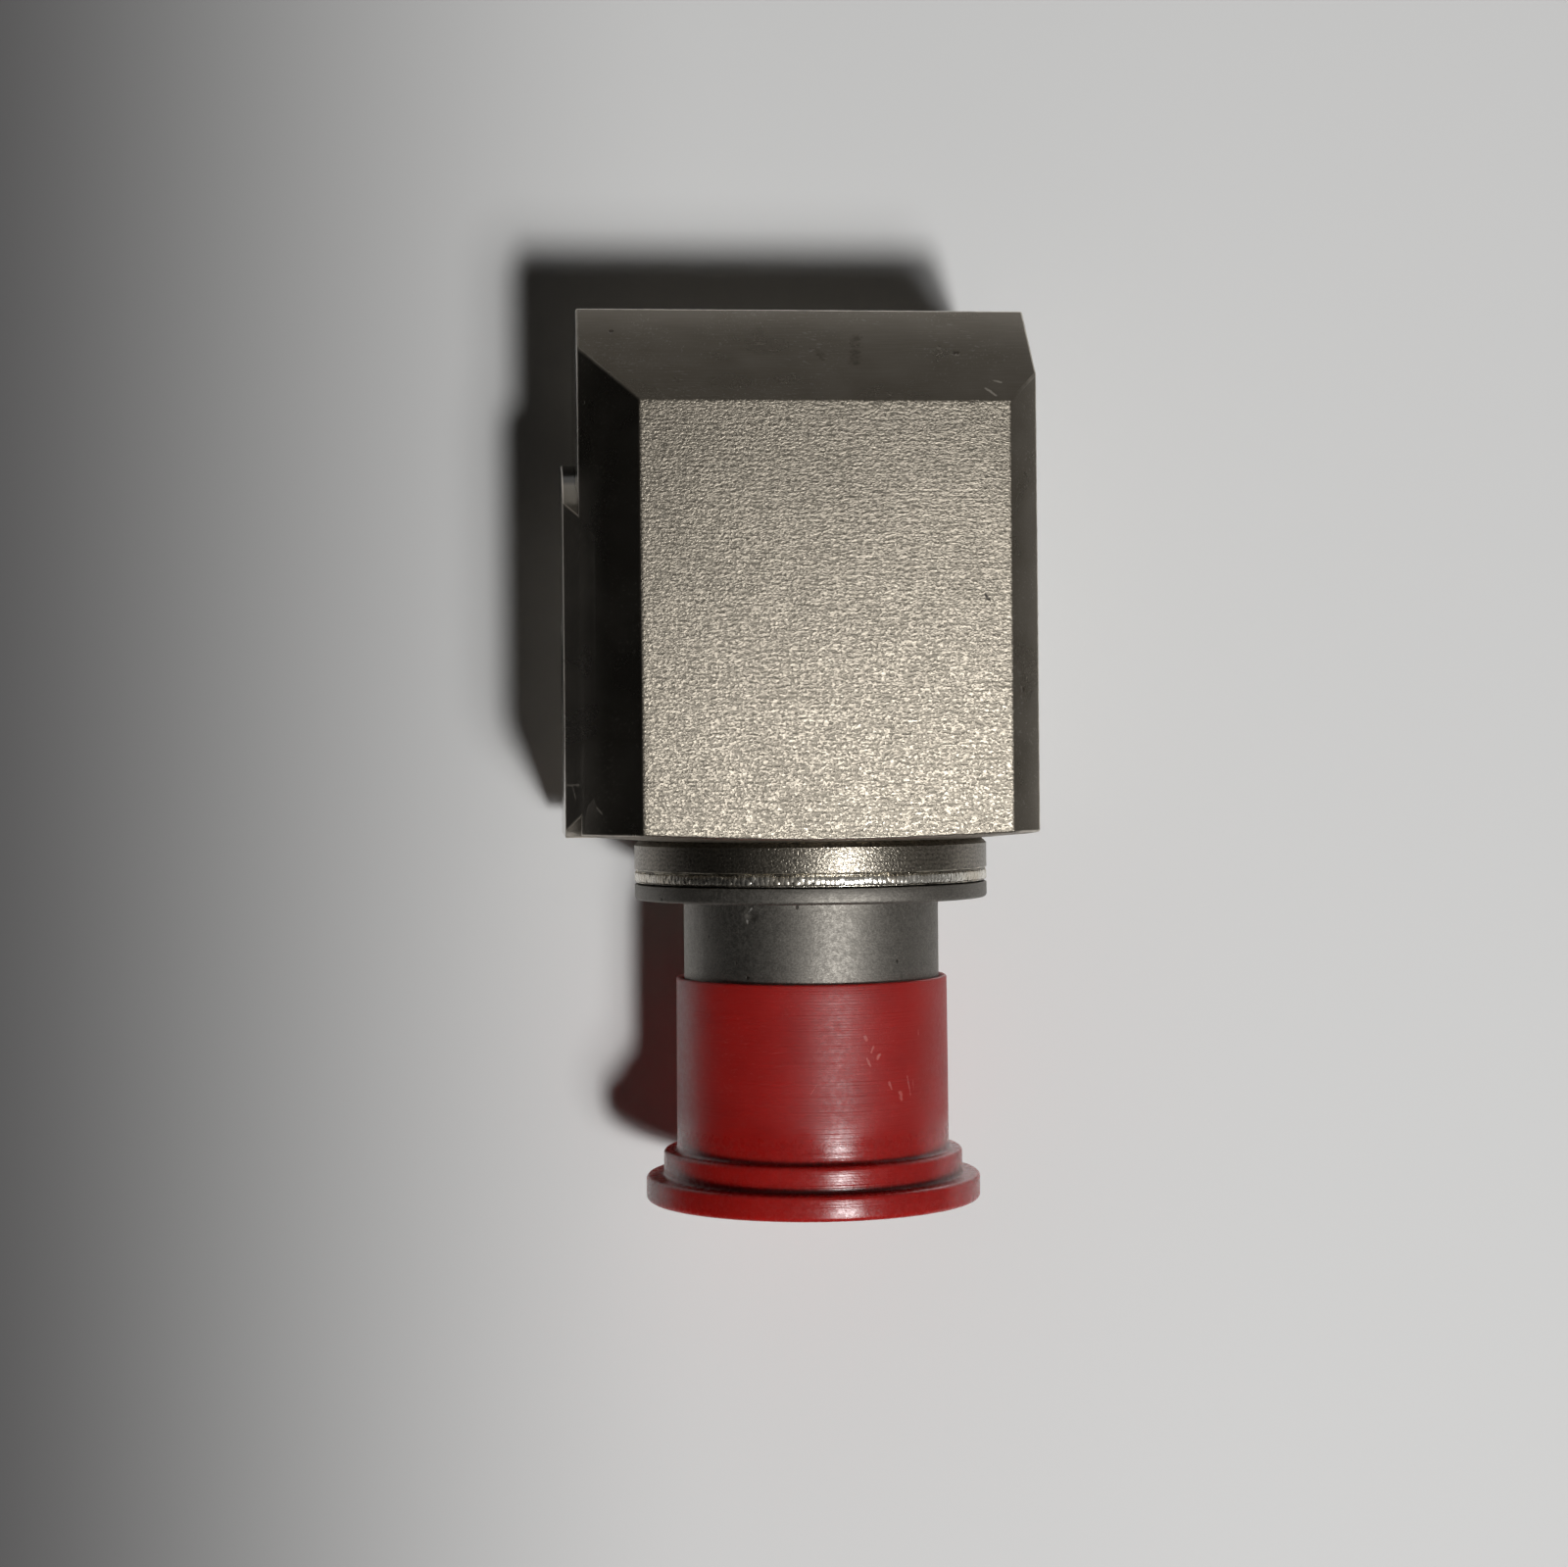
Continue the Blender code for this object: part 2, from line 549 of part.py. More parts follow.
def make_element(parts, tools, steel, ceramic, tungsten, foil, polymer):
    """Make the clamped shear stack: post, crystals, electrode, masses and the screw through them."""
    box("isolation_plate", (ISOLATION_PLATE_LENGTH, ISOLATION_PLATE_WIDTH, ISOLATION_PLATE_THICKNESS),
        (BOSS_X, 0.0, PLATE_Z + ISOLATION_PLATE_THICKNESS / 2), parts, ceramic)
    post = box("element_post", (POST_BASE_LENGTH, POST_BASE_WIDTH, POST_BASE_THICKNESS),
               (BOSS_X, 0.0, BASE_Z + POST_BASE_THICKNESS / 2), parts, steel)
    root = POST_BASE_THICKNESS / 2
    web = box("web_tool", (WEB_THICKNESS, WEB_WIDTH, WEB_HEIGHT + root),
              (BOSS_X, 0.0, WEB_Z + (WEB_HEIGHT - root) / 2), tools)
    combine(post, make_cutter(web), "UNION")
    drilled(post, tools)
    for end, sign in (("front", 1), ("rear", -1)):
        crystal = box(f"crystal_{end}", (CRYSTAL_THICKNESS, CRYSTAL_SIZE, CRYSTAL_SIZE),
                      (BOSS_X + sign * (CRYSTAL_X + CRYSTAL_THICKNESS / 2), 0.0, CRYSTAL_Z), parts, ceramic)
        mass = box(f"seismic_mass_{end}", (MASS_THICKNESS, MASS_SIZE, MASS_SIZE),
                   (BOSS_X + sign * (MASS_X + MASS_THICKNESS / 2), 0.0, CRYSTAL_Z), parts, tungsten)
        drilled(crystal, tools)
        drilled(mass, tools)
    make_electrode(parts, tools, foil)
    make_clamp(parts, tools, steel, polymer)


def make_electrode(parts, tools, foil):
    """Fold one foil over the web, with a leg between each crystal and its mass."""
    low = CRYSTAL_Z - CRYSTAL_SIZE / 2
    high = ELECTRODE_BRIDGE_Z + ELECTRODE_THICKNESS
    length = 2 * (ELECTRODE_X + ELECTRODE_THICKNESS)
    electrode = box("signal_electrode", (length, CRYSTAL_SIZE, high - low),
                    (BOSS_X, 0.0, (high + low) / 2), parts, foil)
    leg = ELECTRODE_BRIDGE_Z - low + CUT_PAST
    hollow = box("electrode_tool", (2 * ELECTRODE_X, CRYSTAL_SIZE + CUT_PAST, leg),
                 (BOSS_X, 0.0, ELECTRODE_BRIDGE_Z - leg / 2), tools)
    combine(electrode, make_cutter(hollow), "DIFFERENCE")
    drilled(electrode, tools)


def make_clamp(parts, tools, steel, polymer):
    """Make the screw, its nut, the insulating sleeve and the two insulating washers."""
    screw_end = HEAD_X + CLAMP_NUT_HEIGHT + CLAMP_TIP
    screw = rod("clamp_screw", CLAMP_SCREW_DIAMETER, (BOSS_X - screw_end, 0.0, CRYSTAL_Z),
                (BOSS_X + HEAD_X + CLAMP_HEAD_HEIGHT / 2, 0.0, CRYSTAL_Z), PIN_STEPS, parts, steel)
    head_diameter = CLAMP_SCREW_DIAMETER + 2 * CLAMP_HEAD_RIM
    head = rod("screw_head_tool", head_diameter, (BOSS_X + HEAD_X, 0.0, CRYSTAL_Z),
               (BOSS_X + HEAD_X + CLAMP_HEAD_HEIGHT, 0.0, CRYSTAL_Z), PIN_STEPS, tools)
    combine(screw, make_cutter(head), "UNION")
    nut_width = CLAMP_BORE_DIAMETER + 2 * CLAMP_NUT_RIM
    nut = rod("clamp_nut", nut_width / math.cos(math.pi / 6), (BOSS_X - HEAD_X, 0.0, CRYSTAL_Z),
              (BOSS_X - HEAD_X - CLAMP_NUT_HEIGHT, 0.0, CRYSTAL_Z), 6, parts, steel)
    sleeve_half = MASS_X + MASS_THICKNESS
    sleeve = rod("insulating_sleeve", CLAMP_BORE_DIAMETER + 2 * SLEEVE_WALL,
                 (BOSS_X - sleeve_half, 0.0, CRYSTAL_Z),
                 (BOSS_X + sleeve_half, 0.0, CRYSTAL_Z), PIN_STEPS, parts, polymer)
    washer_diameter = CLAMP_BORE_DIAMETER + 2 * WASHER_RIM
    washers = []
    for end, sign in (("front", 1), ("rear", -1)):
        inside = (BOSS_X + sign * WASHER_X, 0.0, CRYSTAL_Z)
        outside = (BOSS_X + sign * (WASHER_X + WASHER_THICKNESS), 0.0, CRYSTAL_Z)
        name = f"insulating_washer_{end}"
        washers.append(rod(name, washer_diameter, inside, outside, PIN_STEPS, parts, polymer))
    reach = screw_end + CUT_PAST
    for ringed in (nut, sleeve, *washers):
        hole = rod(f"{ringed.name}_bore_tool", CLAMP_BORE_DIAMETER, (BOSS_X - reach, 0.0, CRYSTAL_Z),
                   (BOSS_X + reach, 0.0, CRYSTAL_Z), PIN_STEPS, tools)
        combine(ringed, make_cutter(hole), "DIFFERENCE")


def make_can(parts, tools, foil):
    """Make the open-bottomed screen over the element, with a hole for the signal lead."""
    height = CAN_TOP_Z - BASE_Z
    can = box("shield_can", (CAN_INNER_LENGTH + 2 * CAN_WALL, CAN_INNER_WIDTH + 2 * CAN_WALL, height),
              (BOSS_X, 0.0, BASE_Z + height / 2), parts, foil)
    hollow_height = CAN_INNER_TOP_Z - BASE_Z + CUT_PAST
    hollow = box("can_tool", (CAN_INNER_LENGTH, CAN_INNER_WIDTH, hollow_height),
                 (BOSS_X, 0.0, CAN_INNER_TOP_Z - hollow_height / 2), tools)
    combine(can, make_cutter(hollow), "DIFFERENCE")
    across = LEAD_DIAMETER + 2 * CAN_LEAD_MARGIN
    hole = box("can_lead_hole_tool", (across, across, CUT_PAST),
               (signal_lead_x(), 0.0, CAN_TOP_Z), tools)
    combine(can, make_cutter(hole), "DIFFERENCE")


def signal_lead_x():
    """Return where the signal lead rises from the electrode's rear leg."""
    return BOSS_X - ELECTRODE_X + LEAD_DIAMETER


def make_board(parts, tools, laminate, chip_black, tantalum, ceramic):
    """Make the amplifier board against its shoulder, with its components on the front side."""
    radius = CAVITY_DIAMETER / 2 - SEAT_GAP
    rear = -CAVITY_DEPTH + SEAT_GAP
    board = turned_plain("circuit_board", radius, rear, rear + BOARD_THICKNESS, BORE_STEPS, parts, laminate)
    flat = half_space("board_flat_tool", (0.0, 0.0, FLOOR_Z + SEAT_GAP), (0, 0, -1), tools)
    combine(board, flat, "DIFFERENCE")
    fitted = (("amplifier_chip", CHIP_SIZE, CHIP_PLACE, chip_black),
              ("coupling_capacitor", CAPACITOR_SIZE, CAPACITOR_PLACE, tantalum),
              ("bias_resistor", RESISTOR_SIZE, BIAS_RESISTOR_PLACE, ceramic),
              ("feedback_resistor", RESISTOR_SIZE, FEEDBACK_RESISTOR_PLACE, ceramic))
    for name, size, (across, up), material in fitted:
        box(name, size, (BOARD_FRONT_X + BOND_GAP + size[0] / 2, across, AXIS_HEIGHT + up), parts, material)
    across, up = DIODE_PLACE
    stand = BOARD_FRONT_X + BOND_GAP + DIODE_DIAMETER / 2
    diode = rod("protection_diode", DIODE_DIAMETER, (stand, across - DIODE_LENGTH / 2, AXIS_HEIGHT + up),
                (stand, across + DIODE_LENGTH / 2, AXIS_HEIGHT + up), PIN_STEPS, parts, chip_black)
    shade_round(diode)


def make_leads(parts, insulation):
    """Lay the signal lead from the electrode, and a lead from each pin, to the board."""
    board_end = BOARD_FRONT_X + SEAT_GAP
    can_front = BOSS_X + CAN_INNER_LENGTH / 2 + CAN_WALL
    can_rear = BOSS_X - CAN_INNER_LENGTH / 2 - CAN_WALL
    high = CAN_TOP_Z + LEAD_RISE
    tail = FRONT_X + SEAL_REAR - PIN_TAIL - SEAT_GAP
    third = (tail - can_front) / 3
    for name, sign in (("pin_lead_a", -1), ("pin_lead_b", 1)):
        wide = sign * PIN_SPACING / 2
        near = sign * PIN_LEAD_SPREAD
        lead(name, [(tail, wide, AXIS_HEIGHT), (tail - third, wide, AXIS_HEIGHT + LEAD_DIAMETER),
                    (tail - 2 * third, wide, (AXIS_HEIGHT + high) / 2),
                    (can_front, near, high - LEAD_DIAMETER), (can_front - 2 * third, near, high),
                    (BOSS_X, near, high), (can_rear, near, high), (board_end, near, high)], parts, insulation)
    start = signal_lead_x()
    base = ELECTRODE_BRIDGE_Z + ELECTRODE_THICKNESS + SEAT_GAP
    level = CAN_TOP_Z + SIGNAL_LEAD_RISE
    lead("signal_lead", [(start, 0.0, base), (start, 0.0, (base + level) / 2),
                         (start - SIGNAL_LEAD_BEND, 0.0, level), (can_rear, 0.0, level),
                         (board_end, 0.0, level)], parts, insulation)


def main():
    """Build the sensor."""
    clear_scene()
    parts = make_collection("vibration_sensor")
    tools = make_collection("cutters")
    steel = make_material("blasted_steel", (0.42, 0.39, 0.34), 0.45, 1.0)
    machined = make_material("machined_steel", (0.34, 0.34, 0.34), 0.35, 1.0)
    plastic = make_material("red_plastic", (0.45, 0.01, 0.01), 0.4, 0.0)
    glass = make_material("seal_glass", (0.03, 0.06, 0.10), 0.2, 0.0)
    gold = make_material("contact_gold", (0.80, 0.55, 0.22), 0.3, 1.0)
    ceramic = make_material("element_ceramic", (0.75, 0.72, 0.62), 0.6, 0.0)
    tungsten = make_material("tungsten", (0.25, 0.25, 0.26), 0.4, 1.0)
    foil = make_material("bronze_foil", (0.55, 0.36, 0.20), 0.35, 1.0)
    polymer = make_material("amber_polymer", (0.50, 0.26, 0.06), 0.5, 0.0)
    laminate = make_material("board_laminate", (0.03, 0.16, 0.06), 0.5, 0.0)
    chip_black = make_material("moulded_black", (0.02, 0.02, 0.02), 0.5, 0.0)
    tantalum = make_material("capacitor_yellow", (0.62, 0.42, 0.08), 0.5, 0.0)
    insulation = make_material("lead_insulation", (0.70, 0.70, 0.68), 0.5, 0.0)
    make_housing(parts, tools, steel)
    make_connector_shell(parts, tools, machined)
    make_contacts(parts, tools, glass, gold)
    make_cap(parts, plastic)
    make_element(parts, tools, machined, ceramic, tungsten, foil, polymer)
    make_can(parts, tools, foil)
    make_board(parts, tools, laminate, chip_black, tantalum, ceramic)
    make_leads(parts, insulation)


main()
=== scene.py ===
import enum
import logging
import math
from dataclasses import dataclass, field
from typing import Callable, Iterable, Sequence

import bmesh
import bpy
import numpy as np
from bmesh.types import BMEdge, BMesh
from bpy.types import Material, Mesh, Node, NodeSocket, NodeTree, Object
from mathutils import Euler, Matrix, Vector, noise


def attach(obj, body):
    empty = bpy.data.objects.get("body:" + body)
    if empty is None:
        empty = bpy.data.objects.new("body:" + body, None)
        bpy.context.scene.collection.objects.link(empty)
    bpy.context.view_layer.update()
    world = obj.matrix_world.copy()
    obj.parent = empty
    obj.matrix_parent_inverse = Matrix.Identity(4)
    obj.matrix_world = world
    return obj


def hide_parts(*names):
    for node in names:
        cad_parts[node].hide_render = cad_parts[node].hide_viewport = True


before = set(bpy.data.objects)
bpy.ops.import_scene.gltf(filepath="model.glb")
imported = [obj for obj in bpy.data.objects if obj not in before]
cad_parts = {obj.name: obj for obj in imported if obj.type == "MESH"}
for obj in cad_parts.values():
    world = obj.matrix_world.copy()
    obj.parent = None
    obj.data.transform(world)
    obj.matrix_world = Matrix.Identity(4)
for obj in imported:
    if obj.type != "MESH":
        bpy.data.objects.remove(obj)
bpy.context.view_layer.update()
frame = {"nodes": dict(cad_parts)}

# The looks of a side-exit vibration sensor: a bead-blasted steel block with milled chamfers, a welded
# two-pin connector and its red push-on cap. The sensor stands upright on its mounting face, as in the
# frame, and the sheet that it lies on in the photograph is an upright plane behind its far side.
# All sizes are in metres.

LOG = logging.getLogger("sensor")

# Where the block's front edge and the connector's axis stand, and the point that stations are counted from
FRONT_X = 0.00461
AXIS_Z = 0.01535
AXIS_START = Vector((FRONT_X, 0.0, AXIS_Z))
BODY = "root"

# The socket that holds each kind of value
SOCKETS = {float: "NodeSocketFloat", int: "NodeSocketInt", Vector: "NodeSocketVector",
           Euler: "NodeSocketRotation", Material: "NodeSocketMaterial"}

# A radius below the first lies on the axis, a cut takes in corners nearer than the second, and a face counts
# as square on to an axis when its normal's share along it is above the third
ON_AXIS = 1e-9
CUT_MARGIN = 1e-7
SQUARE_ON = 0.93

Value = float | Sequence[float] | NodeSocket
Feeds = dict[str | int, Value]
Colour = tuple[float, float, float]
Point = tuple[float, float, float]
Profile = list[tuple[float, float]]
Bend = Callable[[float, float], float]


class Slot(enum.Enum):
    """The record's material slots, passed along with each new piece but not read."""

    BLASTED = "blasted_steel"
    MACHINED = "machined_steel"
    CAP = "red_plastic"


class Surface(enum.IntEnum):
    """The housing's kinds of surface, in the order of its material slots."""

    MILLED = 0
    BLASTED = 1
    BORED = 2
    COLLAR = 3
    BOSS = 4


class Step(enum.Enum):
    """The two ways in which a tool shapes a piece."""

    JOIN = "UNION"
    CUT = "DIFFERENCE"


class TreeKind(enum.Enum):
    """The kinds of node group, each with the type of its outputs."""

    SHADER = ("ShaderNodeTree", "NodeSocketFloat")
    GEOMETRY = ("GeometryNodeTree", "NodeSocketGeometry")


class Axis(enum.Enum):
    """The axes that pieces are turned about, each with the two directions across it."""

    CONNECTOR = (Vector((1.0, 0.0, 0.0)), Vector((0.0, 1.0, 0.0)), Vector((0.0, 0.0, 1.0)))
    STUD = (Vector((0.0, 0.0, 1.0)), Vector((1.0, 0.0, 0.0)), Vector((0.0, 1.0, 0.0)))


@dataclass(frozen=True)
class Mark:
    """A scratch, nick or spot at its own place: a straight line with a half width."""

    start: Point
    end: Point
    width: float


class Graph:
    """Adds and joins the nodes of one shader or geometry tree, from left to right."""

    SPACING = 190.0

    def __init__(self, tree: NodeTree) -> None:
        """Start on a tree that may already hold nodes."""
        self.tree = tree
        self.column = 0

    def feed(self, socket: NodeSocket, value: Value) -> None:
        """Join a socket to another one, or set its own value.

        Args:
            socket: the input to feed.
            value: an output socket, a number or a colour.
        """
        if isinstance(value, NodeSocket):
            self.tree.links.new(value, socket)
        else:
            socket.default_value = value

    def node(self, kind: str, feeds: Feeds | None = None, **settings: object) -> Node:
        """Add a node.

        Args:
            kind: the node's type name.
            feeds: what its inputs get, by name or place.
            settings: its properties by name.

        Returns:
            The new node.
        """
        made = self.tree.nodes.new(kind)
        made.location = (self.column * self.SPACING, 0.0)
        self.column += 1
        for name, setting in settings.items():
            setattr(made, name, setting)
        for key, value in (feeds or {}).items():
            self.feed(made.inputs[key], value)
        return made

    def math(self, operation: str, first: Value, second: Value = 0.0, clamp: bool = False) -> NodeSocket:
        """Work on one or two numbers.

        Args:
            operation: the Math node's operation.
            first: the first number.
            second: the second number.
            clamp: whether the result is kept from 0 to 1.

        Returns:
            The result's socket.
        """
        made = self.node("ShaderNodeMath", {0: first, 1: second}, operation=operation, use_clamp=clamp)
        return made.outputs[0]

    def vector(self, operation: str, first: Value, second: Value = (0.0, 0.0, 0.0)) -> NodeSocket:
        """Work on one or two vectors.

        Args:
            operation: the Vector Math node's operation.
            first: the first vector.
            second: the second vector.

        Returns:
            The result's socket, a number for a length or a dot product.
        """
        made = self.node("ShaderNodeVectorMath", {0: first, 1: second}, operation=operation)
        return made.outputs["Value" if operation in ("LENGTH", "DOT_PRODUCT") else "Vector"]

    def scaled(self, vector: Value, factor: Value) -> NodeSocket:
        """Return a vector times a number."""
        return self.node("ShaderNodeVectorMath", {0: vector, "Scale": factor}, operation="SCALE").outputs[0]

    def split(self, vector: Value) -> list[NodeSocket]:
        """Return the sockets of a vector's x, y and z."""
        return list(self.node("ShaderNodeSeparateXYZ", {0: vector}).outputs)

    def level(self, value: Value, low: float, high: float, to_low: float = 0.0,
              to_high: float = 1.0) -> NodeSocket:
        """Map a range of values smoothly onto another one.

        Args:
            value: what is mapped.
            low: the value that gives to_low.
            high: the value that gives to_high.
            to_low: the result at and before low.
            to_high: the result at and past high.

        Returns:
            The mapped value's socket.
        """
        feeds = dict(enumerate((value, low, high, to_low, to_high)))
        return self.node("ShaderNodeMapRange", feeds, interpolation_type="SMOOTHSTEP").outputs[0]

    def noise(self, vector: Value, scale: Value, detail: float = 2.0, distortion: float = 0.0,
              roughness: float = 0.5) -> NodeSocket:
        """Take a noise texture's value.

        Args:
            vector: where it is taken.
            scale: how fine it is.
            detail: how many finer layers it holds.
            distortion: how far it is bent.
            roughness: how strong the finer layers are.

        Returns:
            The value's socket.
        """
        return self.node("ShaderNodeTexNoise", {"Vector": vector, "Scale": scale, "Detail": detail,
                                                "Roughness": roughness, "Distortion": distortion}).outputs[0]

    def mapped(self, vector: Value, scale: Point, turn: Point = (0.0, 0.0, 0.0),
               shift: Point = (0.0, 0.0, 0.0)) -> NodeSocket:
        """Turn a vector, then stretch it along the axes.

        Args:
            vector: what is mapped.
            scale: the factor along each axis.
            turn: the angles about each axis, in degrees.
            shift: what is added at the end.

        Returns:
            The mapped vector's socket.
        """
        angles = [math.radians(angle) for angle in turn]
        turned = self.node("ShaderNodeVectorRotate", {"Vector": vector, "Rotation": angles},
                           rotation_type="EULER_XYZ").outputs[0]
        made = self.node("ShaderNodeMapping", {"Vector": turned, "Scale": scale, "Location": shift})
        return made.outputs[0]

    def mix(self, factor: Value, first: Value, second: Value) -> NodeSocket:
        """Mix two colours.

        Args:
            factor: the second colour's share.
            first: the first colour.
            second: the second colour.

        Returns:
            The mixed colour's socket.
        """
        one, two = ((*value, 1.0) if isinstance(value, tuple) else value for value in (first, second))
        return self.node("ShaderNodeMix", {0: factor, 6: one, 7: two}, data_type="RGBA").outputs[2]

    def layered(self, colour: Value, *layers: tuple[Value, Value]) -> Value:
        """Lay colours over one another.

        Args:
            colour: the lowest colour.
            layers: each further colour after its mask, from the lowest up.

        Returns:
            The result's socket.
        """
        for mask, over in layers:
            colour = self.mix(mask, colour, over)
        return colour

    def swung(self, value: Value, mask: Value, swing: float) -> NodeSocket:
        """Return a value that changes by a swing where a mask is one."""
        return self.math("ADD", value, self.math("MULTIPLY", mask, swing))

    def weighed(self, first: Value, share: float, second: Value, rest: float) -> NodeSocket:
        """Return the sum of two values, each times its own share."""
        return self.math("ADD", self.math("MULTIPLY", first, share), self.math("MULTIPLY", second, rest))

    def bump(self, height: Value, depth: float, normal: Value | None = None) -> NodeSocket:
        """Return the normal of a surface with a height on it.

        Args:
            height: the height, as a share of the depth.
            depth: how far a height of one stands proud, in metres.
            normal: the normal that this one builds on.

        Returns:
            The normal's socket.
        """
        feeds: Feeds = {"Height": height, "Distance": depth}
        if normal is not None:
            feeds["Normal"] = normal
        return self.node("ShaderNodeBump", feeds).outputs[0]

    def use(self, group: NodeTree, **values: Value) -> Node:
        """Place a shader group.

        Args:
            group: the group's tree.
            values: its inputs by name, with underscores for spaces.

        Returns:
            The group node.
        """
        feeds = {name.replace("_", " "): value for name, value in values.items()}
        return self.node("ShaderNodeGroup", feeds, node_tree=group)


def new_group(name: str, kind: TreeKind, inputs: dict[str, object],
              *outputs: str) -> tuple[Graph, Node, Node]:
    """Make a node group with named sockets.

    Args:
        name: the group's name.
        kind: the kind of tree.
        inputs: each input's default, which also says what it holds.
        outputs: the outputs' names.

    Returns:
        The graph, the node that gives the inputs and the node that takes the outputs.
    """
    tree_type, output_type = kind.value
    tree = bpy.data.node_groups.new(name, tree_type)
    for label, default in inputs.items():
        socket = tree.interface.new_socket(name=label, in_out="INPUT", socket_type=SOCKETS[type(default)])
        socket.default_value = default
    for label in outputs:
        tree.interface.new_socket(name=label, in_out="OUTPUT", socket_type=output_type)
    graph = Graph(tree)
    return graph, graph.node("NodeGroupInput"), graph.node("NodeGroupOutput")


class Effects:
    """The shader groups that several finishes share, each built once."""

    def __init__(self) -> None:
        """Build every group."""
        self.peened = self.build_peened()
        self.turned = self.build_turned()
        self.scuffs = self.build_scuffs()
        self.specks = self.build_specks()
        self.smudges = self.build_smudges()
        self.worn = self.build_worn()
        self.scratch = self.build_scratch()

    def build_peened(self) -> NodeTree:
        """Build the crooked rows and the fine grain of a blasted face. Scale is how many rows lie in a metre.

        Returns:
            The group's tree.
        """
        graph, given, taken = new_group(
            "Peened Grain", TreeKind.SHADER, {"Vector": Vector(), "Scale": 3300.0}, "Ridges", "Grain")
        vector, scale = given.outputs["Vector"], given.outputs["Scale"]
        wobble = graph.noise(graph.mapped(vector, (1.0, 1.0, 0.6)), graph.math("MULTIPLY", scale, 0.42), 1.0)
        steps = graph.math("ADD", graph.math("MULTIPLY", graph.split(vector)[0], scale),
                           graph.math("MULTIPLY", wobble, 1.9))
        rows = graph.math("SINE", graph.math("MULTIPLY", steps, math.tau))
        dash_scale, grain_scale = graph.math("MULTIPLY", scale, 0.8), graph.math("MULTIPLY", scale, 2.1)
        dashes = graph.noise(graph.mapped(vector, (1.5, 1.0, 0.5)), dash_scale, 1.0, 0.5)
        shown = graph.level(dashes, 0.38, 0.62, 0.12, 0.5)
        graph.feed(taken.inputs["Ridges"], graph.math("ADD", graph.math("MULTIPLY", rows, shown), 0.5))
        fine = graph.noise(graph.mapped(vector, (1.3, 1.0, 0.8)), grain_scale, 1.0, 0.6)
        graph.feed(taken.inputs["Grain"], graph.level(fine, 0.32, 0.68))
        return graph.tree

    def build_turned(self) -> NodeTree:
        """Build the fine rings that a lathe leaves round the connector axis.

        Returns:
            The group's tree.
        """
        graph, given, taken = new_group(
            "Turned Rings", TreeKind.SHADER,
            {"Vector": Vector(), "Axis Height": AXIS_Z, "Scale": 9000.0, "Break Up": 0.3}, "Rings", "Bands")
        station, across, height = graph.split(given.outputs["Vector"])
        high = graph.math("SUBTRACT", height, given.outputs["Axis Height"])
        square = graph.math("ADD", graph.math("MULTIPLY", across, across), graph.math("MULTIPLY", high, high))
        place = graph.node("ShaderNodeCombineXYZ", {0: station, 1: graph.math("SQRT", square)}).outputs[0]
        rings = graph.noise(place, given.outputs["Scale"])
        bands = graph.noise(place, graph.math("MULTIPLY", given.outputs["Scale"], 0.21))
        patches = graph.level(graph.noise(given.outputs["Vector"], 700.0), 0.35, 0.65)
        weight = graph.math("SUBTRACT", 1.0, graph.math("MULTIPLY", patches, given.outputs["Break Up"]))
        centred = graph.math("MULTIPLY", graph.math("SUBTRACT", rings, 0.5), weight)
        graph.feed(taken.inputs["Rings"], graph.math("ADD", centred, 0.5))
        graph.feed(taken.inputs["Bands"], bands)
        return graph.tree

    def build_scuffs(self) -> NodeTree:
        """Build thin scratches in three directions, which show where a slow noise lets them.

        Returns:
            The group's tree.
        """
        graph, given, taken = new_group(
            "Scuffs", TreeKind.SHADER, {"Vector": Vector(), "Amount": 0.5}, "Mask")
        vector = given.outputs["Vector"]
        total: Value = 0.0
        directions = (((12.0, 25.0, 40.0), 0.3), ((71.0, -33.0, 8.0), 1.7), ((-38.0, 64.0, -20.0), 2.9))
        for turn_by, seed in directions:
            stretched = graph.mapped(vector, (9000.0, 260.0, 9000.0), turn_by, (seed, seed, seed))
            lines = graph.level(graph.noise(stretched, 1.0, 0.0), 0.70, 0.76)
            region = graph.mapped(vector, (1.0, 1.0, 1.0), shift=(seed, -seed, seed))
            shown = graph.level(graph.noise(region, 260.0, 1.0), 0.5, 0.62)
            total = graph.math("ADD", total, graph.math("MULTIPLY", lines, shown), clamp=True)
        graph.feed(taken.inputs["Mask"], graph.math("MULTIPLY", total, given.outputs["Amount"]))
        return graph.tree

    def build_specks(self) -> NodeTree:
        """Build small round pits and specks, thinly spread.

        Returns:
            The group's tree.
        """
        graph, given, taken = new_group(
            "Specks", TreeKind.SHADER, {"Vector": Vector(), "Scale": 1600.0, "Share": 0.12}, "Mask")
        cells = graph.node("ShaderNodeTexVoronoi", {"Vector": given.outputs["Vector"],
                                                    "Scale": given.outputs["Scale"]}, feature="F1")
        pick = graph.node("ShaderNodeSeparateColor", {0: cells.outputs["Color"]})
        chosen = graph.math("LESS_THAN", pick.outputs[0], given.outputs["Share"])
        size = graph.math("ADD", graph.math("MULTIPLY", pick.outputs[1], 0.16), 0.06)
        dot = graph.level(graph.math("SUBTRACT", size, cells.outputs["Distance"]), 0.0, 0.05)
        graph.feed(taken.inputs["Mask"], graph.math("MULTIPLY", dot, chosen))
        return graph.tree

